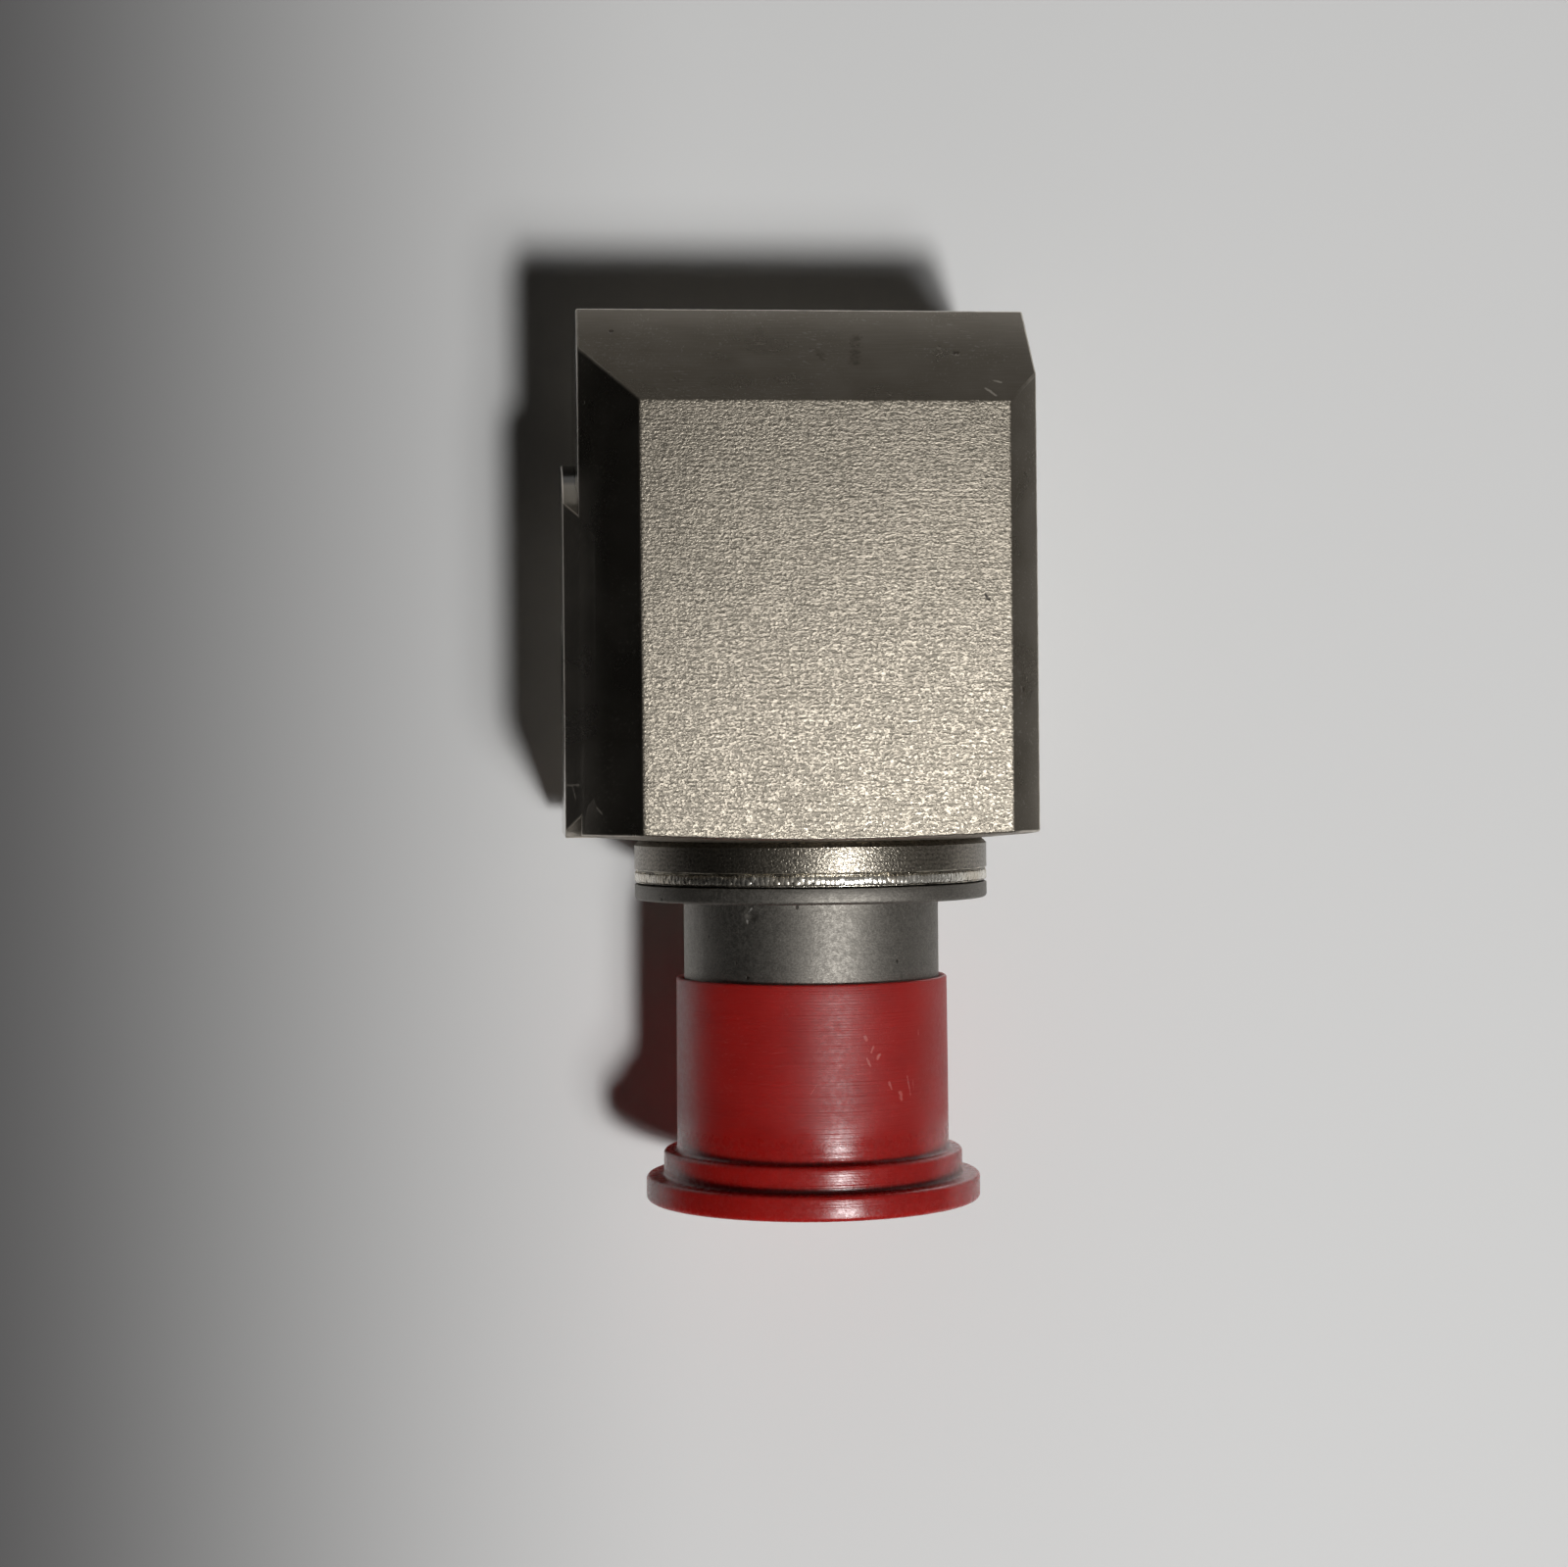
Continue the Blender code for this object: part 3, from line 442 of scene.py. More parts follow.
    def build_smudges(self) -> NodeTree:
        """Build soft cloudy patches, as fingers and handling leave.

        Returns:
            The group's tree.
        """
        graph, given, taken = new_group(
            "Smudges", TreeKind.SHADER, {"Vector": Vector(), "Scale": 300.0}, "Mask", "Fine")
        vector, scale = given.outputs["Vector"], given.outputs["Scale"]
        graph.feed(taken.inputs["Mask"], graph.level(graph.noise(vector, scale, 3.0, 0.4), 0.35, 0.7))
        fine = graph.noise(vector, graph.math("MULTIPLY", scale, 9.0), 3.0, 0.0, 0.6)
        graph.feed(taken.inputs["Fine"], graph.level(fine, 0.35, 0.65))
        return graph.tree

    def build_worn(self) -> NodeTree:
        """Build the rubbed line along rounded edges, from the piece's own worn attribute; on blasted steel it
        also carries a painted highlight.

        Returns:
            The group's tree.
        """
        graph, given, taken = new_group(
            "Worn Edge", TreeKind.SHADER, {"Vector": Vector(), "Worn": 0.0}, "Mask")
        uneven = graph.level(graph.noise(given.outputs["Vector"], 1500.0, 3.0), 0.25, 0.7, 0.35, 1.0)
        line = graph.level(given.outputs["Worn"], 0.1, 0.9)
        graph.feed(taken.inputs["Mask"], graph.math("MULTIPLY", uneven, line))
        return graph.tree

    def build_scratch(self) -> NodeTree:
        """Build one straight mark between two points, uneven along its edge.

        Returns:
            The group's tree.
        """
        graph, given, taken = new_group(
            "Scratch", TreeKind.SHADER,
            {"Vector": Vector(), "Start": Vector(), "End": Vector(), "Width": 0.0001}, "Mask")
        vector, start = given.outputs["Vector"], given.outputs["Start"]
        offset = graph.vector("SUBTRACT", vector, start)
        run = graph.vector("SUBTRACT", given.outputs["End"], start)
        square = graph.vector("DOT_PRODUCT", run, run)
        along = graph.math("DIVIDE", graph.vector("DOT_PRODUCT", offset, run), square)
        nearest = graph.scaled(run, graph.math("MINIMUM", graph.math("MAXIMUM", along, 0.0), 1.0))
        away = graph.vector("LENGTH", graph.vector("SUBTRACT", offset, nearest))
        share = graph.math("DIVIDE", away, given.outputs["Width"])
        ragged = graph.math("MULTIPLY", graph.math("SUBTRACT", graph.noise(vector, 5000.0, 1.0), 0.5), 1.6)
        graph.feed(taken.inputs["Mask"], graph.level(graph.math("ADD", share, ragged), 1.0, 0.3))
        return graph.tree

    def rubbed_edge(self, graph: Graph, place: Value) -> NodeSocket:
        """Return the mask of a piece's rubbed edges."""
        worn = graph.node("ShaderNodeAttribute", attribute_name="worn")
        return graph.use(self.worn, Vector=place, Worn=worn.outputs["Fac"]).outputs["Mask"]

    def draw_marks(self, graph: Graph, place: Value, marks: Iterable[Mark]) -> Value:
        """Place several marks in a material.

        Args:
            graph: the material's graph.
            place: the coordinates that the marks are given in.
            marks: the marks.

        Returns:
            The mask of them all.
        """
        total: Value = 0.0
        for mark in marks:
            drawn = graph.use(self.scratch, Vector=place, Start=mark.start, End=mark.end, Width=mark.width)
            total = graph.math("MAXIMUM", total, drawn.outputs["Mask"])
        return total


def start_material(name: str, metallic: float, roughness: float,
                   ) -> tuple[Material, Graph, Node, NodeSocket]:
    """Start a Principled material.

    Args:
        name: the material's name.
        metallic: the shader's metallic value.
        roughness: the shader's roughness.

    Returns:
        The material, its graph, its shader and the Object coordinates' socket.
    """
    material = bpy.data.materials.new(name)
    material.use_nodes = True
    graph = Graph(material.node_tree)
    shader = material.node_tree.nodes["Principled BSDF"]
    shader.inputs["Metallic"].default_value = metallic
    shader.inputs["Roughness"].default_value = roughness
    place = graph.node("ShaderNodeTexCoord").outputs["Object"]
    return material, graph, shader, place


@dataclass(frozen=True)
class BlastedSteel:
    """Steel blasted with beads: pale, warm and covered in short crooked ridges."""

    name: str = "bead_blasted_steel"
    pit: Colour = (0.11, 0.099, 0.081)
    crest: Colour = (0.46, 0.412, 0.339)
    # The rubbed colour marks real wear along the rounded edges and is kept this light to paint their
    # highlight as well.
    rubbed: Colour = (0.84, 0.78, 0.66)
    nick: Colour = (0.05, 0.045, 0.04)
    roughness: float = 0.475
    scale: float = 3350.0
    row_share: float = 0.45
    row_depth: float = 0.0000060
    grain_depth: float = 0.0000140
    cloud_share: float = 0.12
    marks: tuple[Mark, ...] = (Mark((-0.0096, -0.0127, 0.0244), (-0.0092, -0.0127, 0.0247), 0.00011),)

    def build(self, effects: Effects) -> Material:
        """Build the material.

        Args:
            effects: the shader groups that finishes share.

        Returns:
            The material.
        """
        material, graph, shader, place = start_material(self.name, 1.0, self.roughness)
        grain = graph.use(effects.peened, Vector=place, Scale=self.scale)
        ridges, fine = grain.outputs["Ridges"], grain.outputs["Grain"]
        smudge = graph.use(effects.smudges, Vector=place, Scale=240.0)
        tone = graph.weighed(ridges, self.row_share, fine, 1.0 - self.row_share)
        graph.feed(shader.inputs["Base Color"], graph.layered(
            graph.mix(tone, self.pit, self.crest),
            (graph.level(smudge.outputs["Mask"], 0.0, 1.0, 0.0, self.cloud_share), self.pit),
            # rubbed edges: wear and a painted highlight
            (effects.rubbed_edge(graph, place), self.rubbed),
            (effects.draw_marks(graph, place, self.marks), self.nick)))
        graph.feed(shader.inputs["Roughness"], graph.swung(self.roughness + 0.03, fine, -0.06))
        normal = graph.bump(ridges, self.row_depth)
        graph.feed(shader.inputs["Normal"], graph.bump(fine, self.grain_depth, normal))
        return material


@dataclass(frozen=True)
class MilledSteel:
    """Steel left from the cutter: darker and smoother, with faint lines, smudges and a few pits.

    Below one height and in front of one station a painted reflection lightens it; below another height and
    behind another station painted shade darkens it. The fields set these heights and stations, and each zone
    fades over its own length.
    """

    name: str = "milled_steel"
    base: Colour = (0.26, 0.232, 0.192)
    cloud: Colour = (0.30, 0.27, 0.228)
    streak: Colour = (0.34, 0.31, 0.26)
    mark: Colour = (0.60, 0.55, 0.48)
    pit: Colour = (0.09, 0.07, 0.055)
    # The next two colours are painted light: a painted reflection that lightens its zone and painted shade
    # that darkens its zone.
    painted_reflection: Colour = (0.66, 0.60, 0.52)
    painted_shade: Colour = (0.03, 0.026, 0.022)
    roughness: float = 0.30
    reflection_top: float = 0.0026
    reflection_low: float = 0.0008
    reflection_rear: float = -0.0180
    reflection_fade: float = 0.002
    shade_top: float = 0.0009
    shade_low: float = 0.0008
    shade_rear: float = -1.0
    shade_fade: float = 0.0004
    line_scale: Point = (14000.0, 14000.0, 240.0)
    line_lean: Point = (0.0, 2.0, 0.0)
    line_depth: float = 0.0000006
    pit_depth: float = 0.00002
    scuffs: tuple[Mark, ...] = (
        Mark((-0.0217, -0.0119, 0.0247), (-0.0212, -0.0124, 0.0252), 0.00012),
        Mark((-0.0222, -0.0114, 0.0253), (-0.0221, -0.0115, 0.0257), 0.00010),
        Mark((0.0013, -0.0083, 0.0), (0.0013, -0.0091, 0.0008), 0.00009),
        Mark((0.0012, -0.0087, 0.0004), (0.0021, -0.0089, 0.0006), 0.00007),
        Mark((0.0026, -0.0101, 0.0018), (0.0030, -0.0104, 0.0021), 0.00008),
        Mark((0.0040, -0.0096, 0.0013), (0.0040, -0.00965, 0.0013), 0.00008),
        Mark((0.0040, -0.0109, 0.0026), (0.0040, -0.01095, 0.0026), 0.00008))
    pits: tuple[Mark, ...] = (
        Mark((-0.0241, -0.0095, 0.0233), (-0.02405, -0.0095, 0.0233), 0.00028),
        Mark((-0.0243, -0.0093, 0.0147), (-0.02425, -0.0093, 0.0147), 0.00016),
        Mark((-0.0041, -0.0120, 0.0267), (-0.00405, -0.0120, 0.0267), 0.00020))
    stains: tuple[Mark, ...] = (
        Mark((-0.0234, -0.0102, 0.0172), (-0.0252, -0.0084, 0.0175), 0.00045),
        Mark((-0.0243, -0.0093, 0.0150), (-0.0237, -0.0099, 0.0154), 0.00030))

    def zones(self, graph: Graph, place: Value) -> tuple[NodeSocket, NodeSocket]:
        """Find the part lit by a painted reflection and the part darkened by painted shade.

        Args:
            graph: the material's graph.
            place: the Object coordinates.

        Returns:
            The masks of the two.
        """
        station, _, height = graph.split(place)
        painted_reflection = graph.math("MULTIPLY", graph.level(height, self.reflection_top, self.reflection_low),
                             graph.level(station, self.reflection_rear, self.reflection_rear + self.reflection_fade))
        painted_shade = graph.math("MULTIPLY", graph.level(station, self.shade_rear + self.shade_fade, self.shade_rear),
                         graph.level(height, self.shade_top, self.shade_low))
        return painted_reflection, painted_shade

    def build(self, effects: Effects) -> Material:
        """Build the material.

        Args:
            effects: the shader groups that finishes share.

        Returns:
            The material.
        """
        material, graph, shader, place = start_material(self.name, 1.0, self.roughness)
        smudge = graph.use(effects.smudges, Vector=place, Scale=260.0)
        scuff = graph.use(effects.scuffs, Vector=place, Amount=0.35)
        speck = graph.use(effects.specks, Vector=place, Scale=900.0, Share=0.03)
        lines = graph.noise(graph.mapped(place, self.line_scale, self.line_lean), 1.0)
        stains = graph.math("MULTIPLY", effects.draw_marks(graph, place, self.stains),
                            graph.level(smudge.outputs["Fine"], 0.0, 1.0, 0.15, 0.5))
        pits = graph.math("MAXIMUM", speck.outputs["Mask"], effects.draw_marks(graph, place, self.pits))
        rubs = graph.math("MAXIMUM", scuff.outputs["Mask"], effects.draw_marks(graph, place, self.scuffs))
        painted_reflection, painted_shade = self.zones(graph, place)
        graph.feed(shader.inputs["Base Color"], graph.layered(
            graph.mix(smudge.outputs["Mask"], self.base, self.cloud),
            (graph.level(lines, 0.45, 0.75, 0.0, 0.6), self.streak),
            (stains, self.pit),
            (graph.math("MULTIPLY", pits, 0.7), self.pit),
            (rubs, self.mark),
            (effects.rubbed_edge(graph, place), self.mark),
            # painted reflection in its zone, then painted shade in its zone
            (painted_reflection, self.painted_reflection),
            (painted_shade, self.painted_shade)))
        rough = graph.swung(self.roughness - 0.03, smudge.outputs["Mask"], 0.05)
        graph.feed(shader.inputs["Roughness"], graph.swung(rough, rubs, 0.2))
        normal = graph.bump(lines, self.line_depth)
        sunk = graph.math("MULTIPLY", pits, -1.0)
        graph.feed(shader.inputs["Normal"], graph.bump(sunk, self.pit_depth, normal))
        return material


@dataclass(frozen=True)
class TurnedSteel:
    """Steel off the lathe: grey, with rings round the connector axis and a fine speckle."""

    name: str = "turned_steel"
    base: Colour = (0.14, 0.131, 0.117)
    bright: Colour = (0.29, 0.272, 0.243)
    pit: Colour = (0.07, 0.062, 0.054)
    # burr is the colour of a painted highlight along the rim of the barrel's dent, which the marks below
    # draw.
    burr: Colour = (0.85, 0.82, 0.76)
    roughness: float = 0.55
    ring_depth: float = 0.0000035
    grain_depth: float = 0.000003
    pit_depth: float = 0.00002
    painted_dent_glints: tuple[Mark, ...] = (
        Mark((0.0097, -0.0065, 0.0109), (0.0093, -0.0065, 0.0107), 0.00008),
        Mark((0.0093, -0.0065, 0.0107), (0.0088, -0.0067, 0.0111), 0.00007))
    pits: tuple[Mark, ...] = (
        Mark((0.0121, -0.0061, 0.0102), (0.01215, -0.0061, 0.0102), 0.00014),
        Mark((0.0087, -0.0078, 0.0137), (0.00875, -0.0078, 0.0137), 0.00012),
        Mark((0.0121, -0.0065, 0.0199), (0.01215, -0.0065, 0.0199), 0.00014))

    def build(self, effects: Effects) -> Material:
        """Build the material.

        Args:
            effects: the shader groups that finishes share.

        Returns:
            The material.
        """
        material, graph, shader, place = start_material(self.name, 1.0, self.roughness)
        rings = graph.use(effects.turned, Vector=place, Scale=9000.0, Break_Up=0.5).outputs["Rings"]
        grain = graph.use(effects.peened, Vector=place, Scale=4200.0).outputs["Grain"]
        speck = graph.use(effects.specks, Vector=place, Scale=1700.0, Share=0.06)
        scuff = graph.use(effects.scuffs, Vector=place, Amount=0.6)
        smudge = graph.use(effects.smudges, Vector=place, Scale=380.0)
        pits = graph.math("MAXIMUM", speck.outputs["Mask"], effects.draw_marks(graph, place, self.pits))
        graph.feed(shader.inputs["Base Color"], graph.layered(
            graph.mix(graph.weighed(rings, 0.5, grain, 0.5), self.base, self.bright),
            (graph.math("MULTIPLY", smudge.outputs["Mask"], 0.3), self.base),
            (pits, self.pit),
            (scuff.outputs["Mask"], self.bright),
            # painted highlight along the dent's rim
            (effects.draw_marks(graph, place, self.painted_dent_glints), self.burr)))
        rough = graph.swung(self.roughness - 0.05, smudge.outputs["Fine"], 0.1)
        graph.feed(shader.inputs["Roughness"], rough)
        normal = graph.bump(grain, self.grain_depth, graph.bump(rings, self.ring_depth))
        sunk = graph.math("MULTIPLY", pits, -1.0)
        graph.feed(shader.inputs["Normal"], graph.bump(sunk, self.pit_depth, normal))
        return material


@dataclass(frozen=True)
class WeldMetal:
    """The weld's own metal: bright, smooth and faintly straw coloured between its ripples."""

    name: str = "weld_metal"
    base: Colour = (0.86, 0.83, 0.76)
    straw: Colour = (0.68, 0.62, 0.52)
    roughness: float = 0.24
    grain_depth: float = 0.000003

    def build(self, effects: Effects) -> Material:
        """Build the material.

        Args:
            effects: the shader groups that finishes share.

        Returns:
            The material.
        """
        material, graph, shader, place = start_material(self.name, 1.0, self.roughness)
        smudge = graph.use(effects.smudges, Vector=place, Scale=500.0)
        grain = graph.use(effects.peened, Vector=place, Scale=5200.0).outputs["Grain"]
        graph.feed(shader.inputs["Base Color"], graph.mix(smudge.outputs["Mask"], self.base, self.straw))
        rough = graph.swung(self.roughness - 0.05, smudge.outputs["Fine"], 0.16)
        graph.feed(shader.inputs["Roughness"], rough)
        graph.feed(shader.inputs["Normal"], graph.bump(grain, self.grain_depth))
        return material


@dataclass(frozen=True)
class CapPlastic:
    """Soft satin plastic: deep red and slightly see-through, with moulding rings and a glossier end."""

    name: str = "satin_red_plastic"
    base: Colour = (0.365, 0.0115, 0.009)
    deep: Colour = (0.30, 0.0075, 0.006)
    rubbed: Colour = (0.55, 0.16, 0.14)
    roughness: float = 0.44
    end_roughness: float = 0.22
    gloss_rear: float = 0.0212
    gloss_front: float = 0.0231
    see_through: float = 0.85
    light_reach: float = 0.0014
    light_tint: Colour = (1.0, 0.18, 0.14)
    refraction: float = 1.49
    ring_depth: float = 0.000038
    band_depth: float = 0.000016
    grain_depth: float = 0.000002
    scuffs: tuple[Mark, ...] = (
        Mark((0.0198, -0.0084, 0.0144), (0.0184, -0.0084, 0.0153), 0.00005),
        Mark((0.0165, -0.0081, 0.0177), (0.0167, -0.0081, 0.0178), 0.00012),
        Mark((0.0171, -0.0079, 0.0182), (0.0174, -0.0080, 0.0181), 0.00010),
        Mark((0.0176, -0.0078, 0.0186), (0.0178, -0.0079, 0.0185), 0.00012),
        Mark((0.0178, -0.0081, 0.0178), (0.0182, -0.0080, 0.0180), 0.00010),
        Mark((0.0193, -0.0075, 0.0192), (0.0197, -0.0074, 0.0193), 0.00011),
        Mark((0.0200, -0.0071, 0.0199), (0.0203, -0.0071, 0.0200), 0.00018),
        Mark((0.0190, -0.0068, 0.0204), (0.0202, -0.0066, 0.0206), 0.00005),
        Mark((0.0192, -0.0065, 0.0208), (0.0201, -0.0064, 0.0208), 0.00004),
        Mark((0.0163, -0.0061, 0.0212), (0.0166, -0.0061, 0.0212), 0.00005))

    def build(self, effects: Effects) -> Material:
        """Build the material.

        Args:
            effects: the shader groups that finishes share.

        Returns:
            The material.
        """
        material, graph, shader, place = start_material(self.name, 0.0, self.roughness)
        shader.inputs["Subsurface Weight"].default_value = self.see_through
        shader.inputs["Subsurface Radius"].default_value = self.light_tint
        shader.inputs["Subsurface Scale"].default_value = self.light_reach
        shader.inputs["IOR"].default_value = self.refraction
        rings = graph.use(effects.turned, Vector=place, Scale=7000.0, Break_Up=0.6)
        smudge = graph.use(effects.smudges, Vector=place, Scale=300.0)
        scuff = graph.use(effects.scuffs, Vector=place, Amount=0.15)
        grain = graph.use(effects.peened, Vector=place, Scale=5200.0)
        scuffs = graph.math("MAXIMUM", scuff.outputs["Mask"], effects.draw_marks(graph, place, self.scuffs))
        graph.feed(shader.inputs["Base Color"], graph.layered(
            self.base,
            (graph.math("MULTIPLY", smudge.outputs["Mask"], 0.6), self.deep),
            (graph.math("MULTIPLY", scuffs, 0.7), self.rubbed)))
        rough = graph.level(graph.split(place)[0], self.gloss_rear, self.gloss_front,
                            self.roughness, self.end_roughness)
        rough = graph.swung(rough, smudge.outputs["Fine"], 0.08)
        graph.feed(shader.inputs["Roughness"], graph.swung(rough, scuffs, 0.15))
        normal = graph.bump(rings.outputs["Rings"], self.ring_depth)
        normal = graph.bump(rings.outputs["Bands"], self.band_depth, normal)
        graph.feed(shader.inputs["Normal"], graph.bump(grain.outputs["Grain"], self.grain_depth, normal))
        return material


@dataclass(frozen=True)
class InnerFinish:
    """A finish of the pieces inside: two tones in a fine grain, with its own gloss."""

    name: str
    low: Colour
    high: Colour
    metallic: float
    roughness: float
    scale: float = 2600.0
    depth: float = 0.000004

    def build(self, effects: Effects) -> Material:
        """Build the material.

        Args:
            effects: the shader groups that finishes share.

        Returns:
            The material.
        """
        material, graph, shader, place = start_material(self.name, self.metallic, self.roughness)
        grain = graph.use(effects.peened, Vector=place, Scale=self.scale).outputs["Grain"]
        smudge = graph.use(effects.smudges, Vector=place, Scale=self.scale / 5)
        tone = graph.weighed(grain, 0.5, smudge.outputs["Mask"], 0.5)
        graph.feed(shader.inputs["Base Color"], graph.mix(tone, self.low, self.high))
        rough = graph.swung(self.roughness - 0.05, smudge.outputs["Fine"], 0.1)
        graph.feed(shader.inputs["Roughness"], rough)
        graph.feed(shader.inputs["Normal"], graph.bump(grain, self.depth))
        return material


@dataclass(frozen=True)
class PaperSheet:
    """The pale sheet under the sensor: painted shadow makes it a little darker towards the mounting face's
    side, and a painted falloff of light makes it paler away from it.
    """

    name: str = "pale_sheet"
    # A painted shadow colour, the middle tone and a painted lighter tone; the two spans set the heights over
    # which each later tone fades in.
    painted_shadow: Colour = (0.115, 0.113, 0.113)
    middle: Colour = (0.79, 0.788, 0.78)
    pale: Colour = (0.83, 0.828, 0.82)
    roughness: float = 0.9
    gloss: float = 0.1
    painted_shadow_span: tuple[float, float] = (-0.045, 0.012)
    painted_light_span: tuple[float, float] = (0.0, 0.05)

    def build(self) -> Material:
        """Build the material, which shadow rays and looks from behind pass through.

        Returns:
            The material.
        """
        material, graph, shader, place = start_material(self.name, 0.0, self.roughness)
        shader.inputs["Specular IOR Level"].default_value = self.gloss
        height = graph.split(place)[2]
        # painted shadow low down, lifted to the middle tone and then to painted light higher up
        graph.feed(shader.inputs["Base Color"], graph.layered(
            self.painted_shadow,
            (graph.level(height, *self.painted_shadow_span), self.middle),
            (graph.level(height, *self.painted_light_span), self.pale)))
        clear = graph.node("ShaderNodeBsdfTransparent")
        rays = graph.node("ShaderNodeLightPath")
        behind = graph.node("ShaderNodeNewGeometry").outputs["Backfacing"]
        open_to = graph.math("MAXIMUM", behind, rays.outputs["Is Shadow Ray"])
        blend = graph.node("ShaderNodeMixShader", {0: open_to, 1: shader.outputs[0], 2: clear.outputs[0]})
        graph.feed(graph.tree.nodes["Material Output"].inputs["Surface"], blend.outputs[0])
        return material


def add_object(name: str, mesh: Mesh, materials: Iterable[Material] = ()) -> Object:
    """Add an object to the scene, at the origin.

    Args:
        name: the object's name.
        mesh: its mesh.
        materials: the materials of its slots, in order.

    Returns:
        The object.
    """
    thing = bpy.data.objects.new(name, mesh)
    bpy.context.scene.collection.objects.link(thing)
    for material in materials:
        mesh.materials.append(material)
    return thing


def cuboid(size: Sequence[float], middle: Sequence[float], surface: int = 0) -> BMesh:
    """Make a box that can still be shaped.

    Args:
        size: its length along each axis.
        middle: its middle.
        surface: the material index of its faces.

    Returns:
        The shape.
    """
    shape = bmesh.new()
    bmesh.ops.create_cube(shape, size=1.0)
    bmesh.ops.scale(shape, vec=size, verts=shape.verts)
    bmesh.ops.translate(shape, vec=middle, verts=shape.verts)
    for face in shape.faces:
        face.material_index = surface
    return shape


def settle(name: str, shape: BMesh) -> Object:
    """Turn a finished shape into an object, and free it.

    Args:
        name: the new object's name.
        shape: the shape.

    Returns:
        The object.
    """
    mesh = bpy.data.meshes.new(name)
    shape.to_mesh(mesh)
    shape.free()
    return add_object(name, mesh)


def plain_mesh(thing: Object) -> Object:
    """Turn an object's modifiers into its mesh.

    Args:
        thing: the object.

    Returns:
        The same object.
    """
    seen = thing.evaluated_get(bpy.context.evaluated_depsgraph_get())
    mesh = bpy.data.meshes.new_from_object(seen)
    thing.modifiers.clear()
    thing.data = mesh
    return thing


def combine(target: Object, tool: Object, step: Step) -> None:
    """Join a tool to a piece or cut it away, and remove the tool.

    Args:
        target: the piece.
        tool: the object that shapes it.
        step: whether it is joined or cut away.
    """
    boolean = target.modifiers.new(tool.name, "BOOLEAN")
    boolean.operation = step.value
    boolean.solver = "EXACT"
    boolean.object = tool
    plain_mesh(target)
    bpy.data.objects.remove(tool, do_unlink=True)


def shade_round(thing: Object, angle: float = 28.0) -> None:
    """Shade a piece smooth, with corners past an angle in degrees kept sharp."""
    thing.data.shade_smooth()
    thing.data.set_sharp_from_angle(angle=math.radians(angle))


def arc(centre: tuple[float, float], radius: float, start: float, end: float, count: int = 4) -> Profile:
    """Round a corner of a turned profile.

    Args:
        centre: the radius and station of the corner's centre.
        radius: the corner's radius.
        start: the first angle in degrees, 0 pointing outwards and 90 forwards.
        end: the last angle.
        count: the number of steps.

    Returns:
        The corner's points.
    """
    angles = [math.radians(start + (end - start) * index / count) for index in range(count + 1)]
    return [(centre[0] + radius * math.cos(a), centre[1] + radius * math.sin(a)) for a in angles]


def stretch(profile: Profile, longest: float) -> Profile:
    """Add points to a profile, so that no step is longer than a length.

    Args:
        profile: the profile.
        longest: the longest step allowed.

    Returns:
        The denser profile.
    """
    result = [profile[0]]
    for first, second in zip(profile, profile[1:]):
        count = max(1, math.ceil(math.dist(first, second) / longest))
        for index in range(1, count + 1):
            share = index / count
            result.append(tuple(one + (two - one) * share for one, two in zip(first, second)))
    return result


def turn(name: str, profile: Profile, steps: int, centre: Vector, axis: Axis = Axis.CONNECTOR,
         bend: Bend | None = None, surface: int = 0) -> Object:
    """Turn a profile into a closed body.

    Args:
        name: the new object's name.
        profile: (radius, station) points; it closes on the axis or on its own first point.
        steps: the number of steps round the axis.
        centre: the point that stations are counted from.
        axis: the axis that it is turned about.
        bend: what is added to the radius at a station and angle.
        surface: the material index of its faces.

    Returns:
        The object.
    """
    along, first_across, second_across = axis.value
    shape = bmesh.new()
    rings = []
    for radius, station in profile:
        if radius < ON_AXIS:
            rings.append([shape.verts.new(centre + along * station)] * steps)
            continue
        ring = []
        for index in range(steps):
            angle = math.tau * index / steps
            full = radius + (bend(station, angle) if bend else 0.0)
            across = first_across * math.cos(angle) + second_across * math.sin(angle)
            ring.append(shape.verts.new(centre + along * station + across * full))
        rings.append(ring)
    pairs = list(zip(rings, rings[1:]))
    if rings[0][0] is not rings[0][1] or rings[-1][0] is not rings[-1][1]:
        pairs.append((rings[-1], rings[0]))
    for one, two in pairs:
        for index in range(steps):
            after = (index + 1) % steps
            corners = list(dict.fromkeys((one[index], one[after], two[after], two[index])))
            if len(corners) > 2:
                shape.faces.new(corners).material_index = surface
    bmesh.ops.recalc_face_normals(shape, faces=shape.faces)
    return settle(name, shape)


def declare(thing: Object, slot: Slot, *nodes: str) -> Object:
    """Tie a finished piece to the frame, and report it.

    Args:
        thing: the piece.
        slot: the record's slot; not used.
        nodes: the CAD nodes that it replaces.

    Returns:
        The piece.
    """
    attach(thing, BODY)
    if nodes:
        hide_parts(*nodes)
    thing.data.calc_loop_triangles()
    LOG.info("%s: %d triangles", thing.name, len(thing.data.loop_triangles))
    return thing


def end_tree(graph: Graph, given: Node, taken: Node, geometry: Value, rotation: Value) -> None:
    """End a Geometry Nodes tree in real geometry, in its place and with its material.

    Args:
        graph: the tree's graph.
        given: the node that gives the inputs, with a Place and a Material.
        taken: the node that takes the result.
        geometry: what the tree has made round the origin.
        rotation: how it is turned.
    """
    moved = graph.node("GeometryNodeTransform", {
        "Geometry": geometry, "Translation": given.outputs["Place"], "Rotation": rotation})
    real = graph.node("GeometryNodeRealizeInstances", {"Geometry": moved.outputs["Geometry"]})
    dressed = graph.node("GeometryNodeSetMaterial", {
        "Geometry": real.outputs["Geometry"], "Material": given.outputs["Material"]})
    graph.feed(taken.inputs["Geometry"], dressed.outputs["Geometry"])


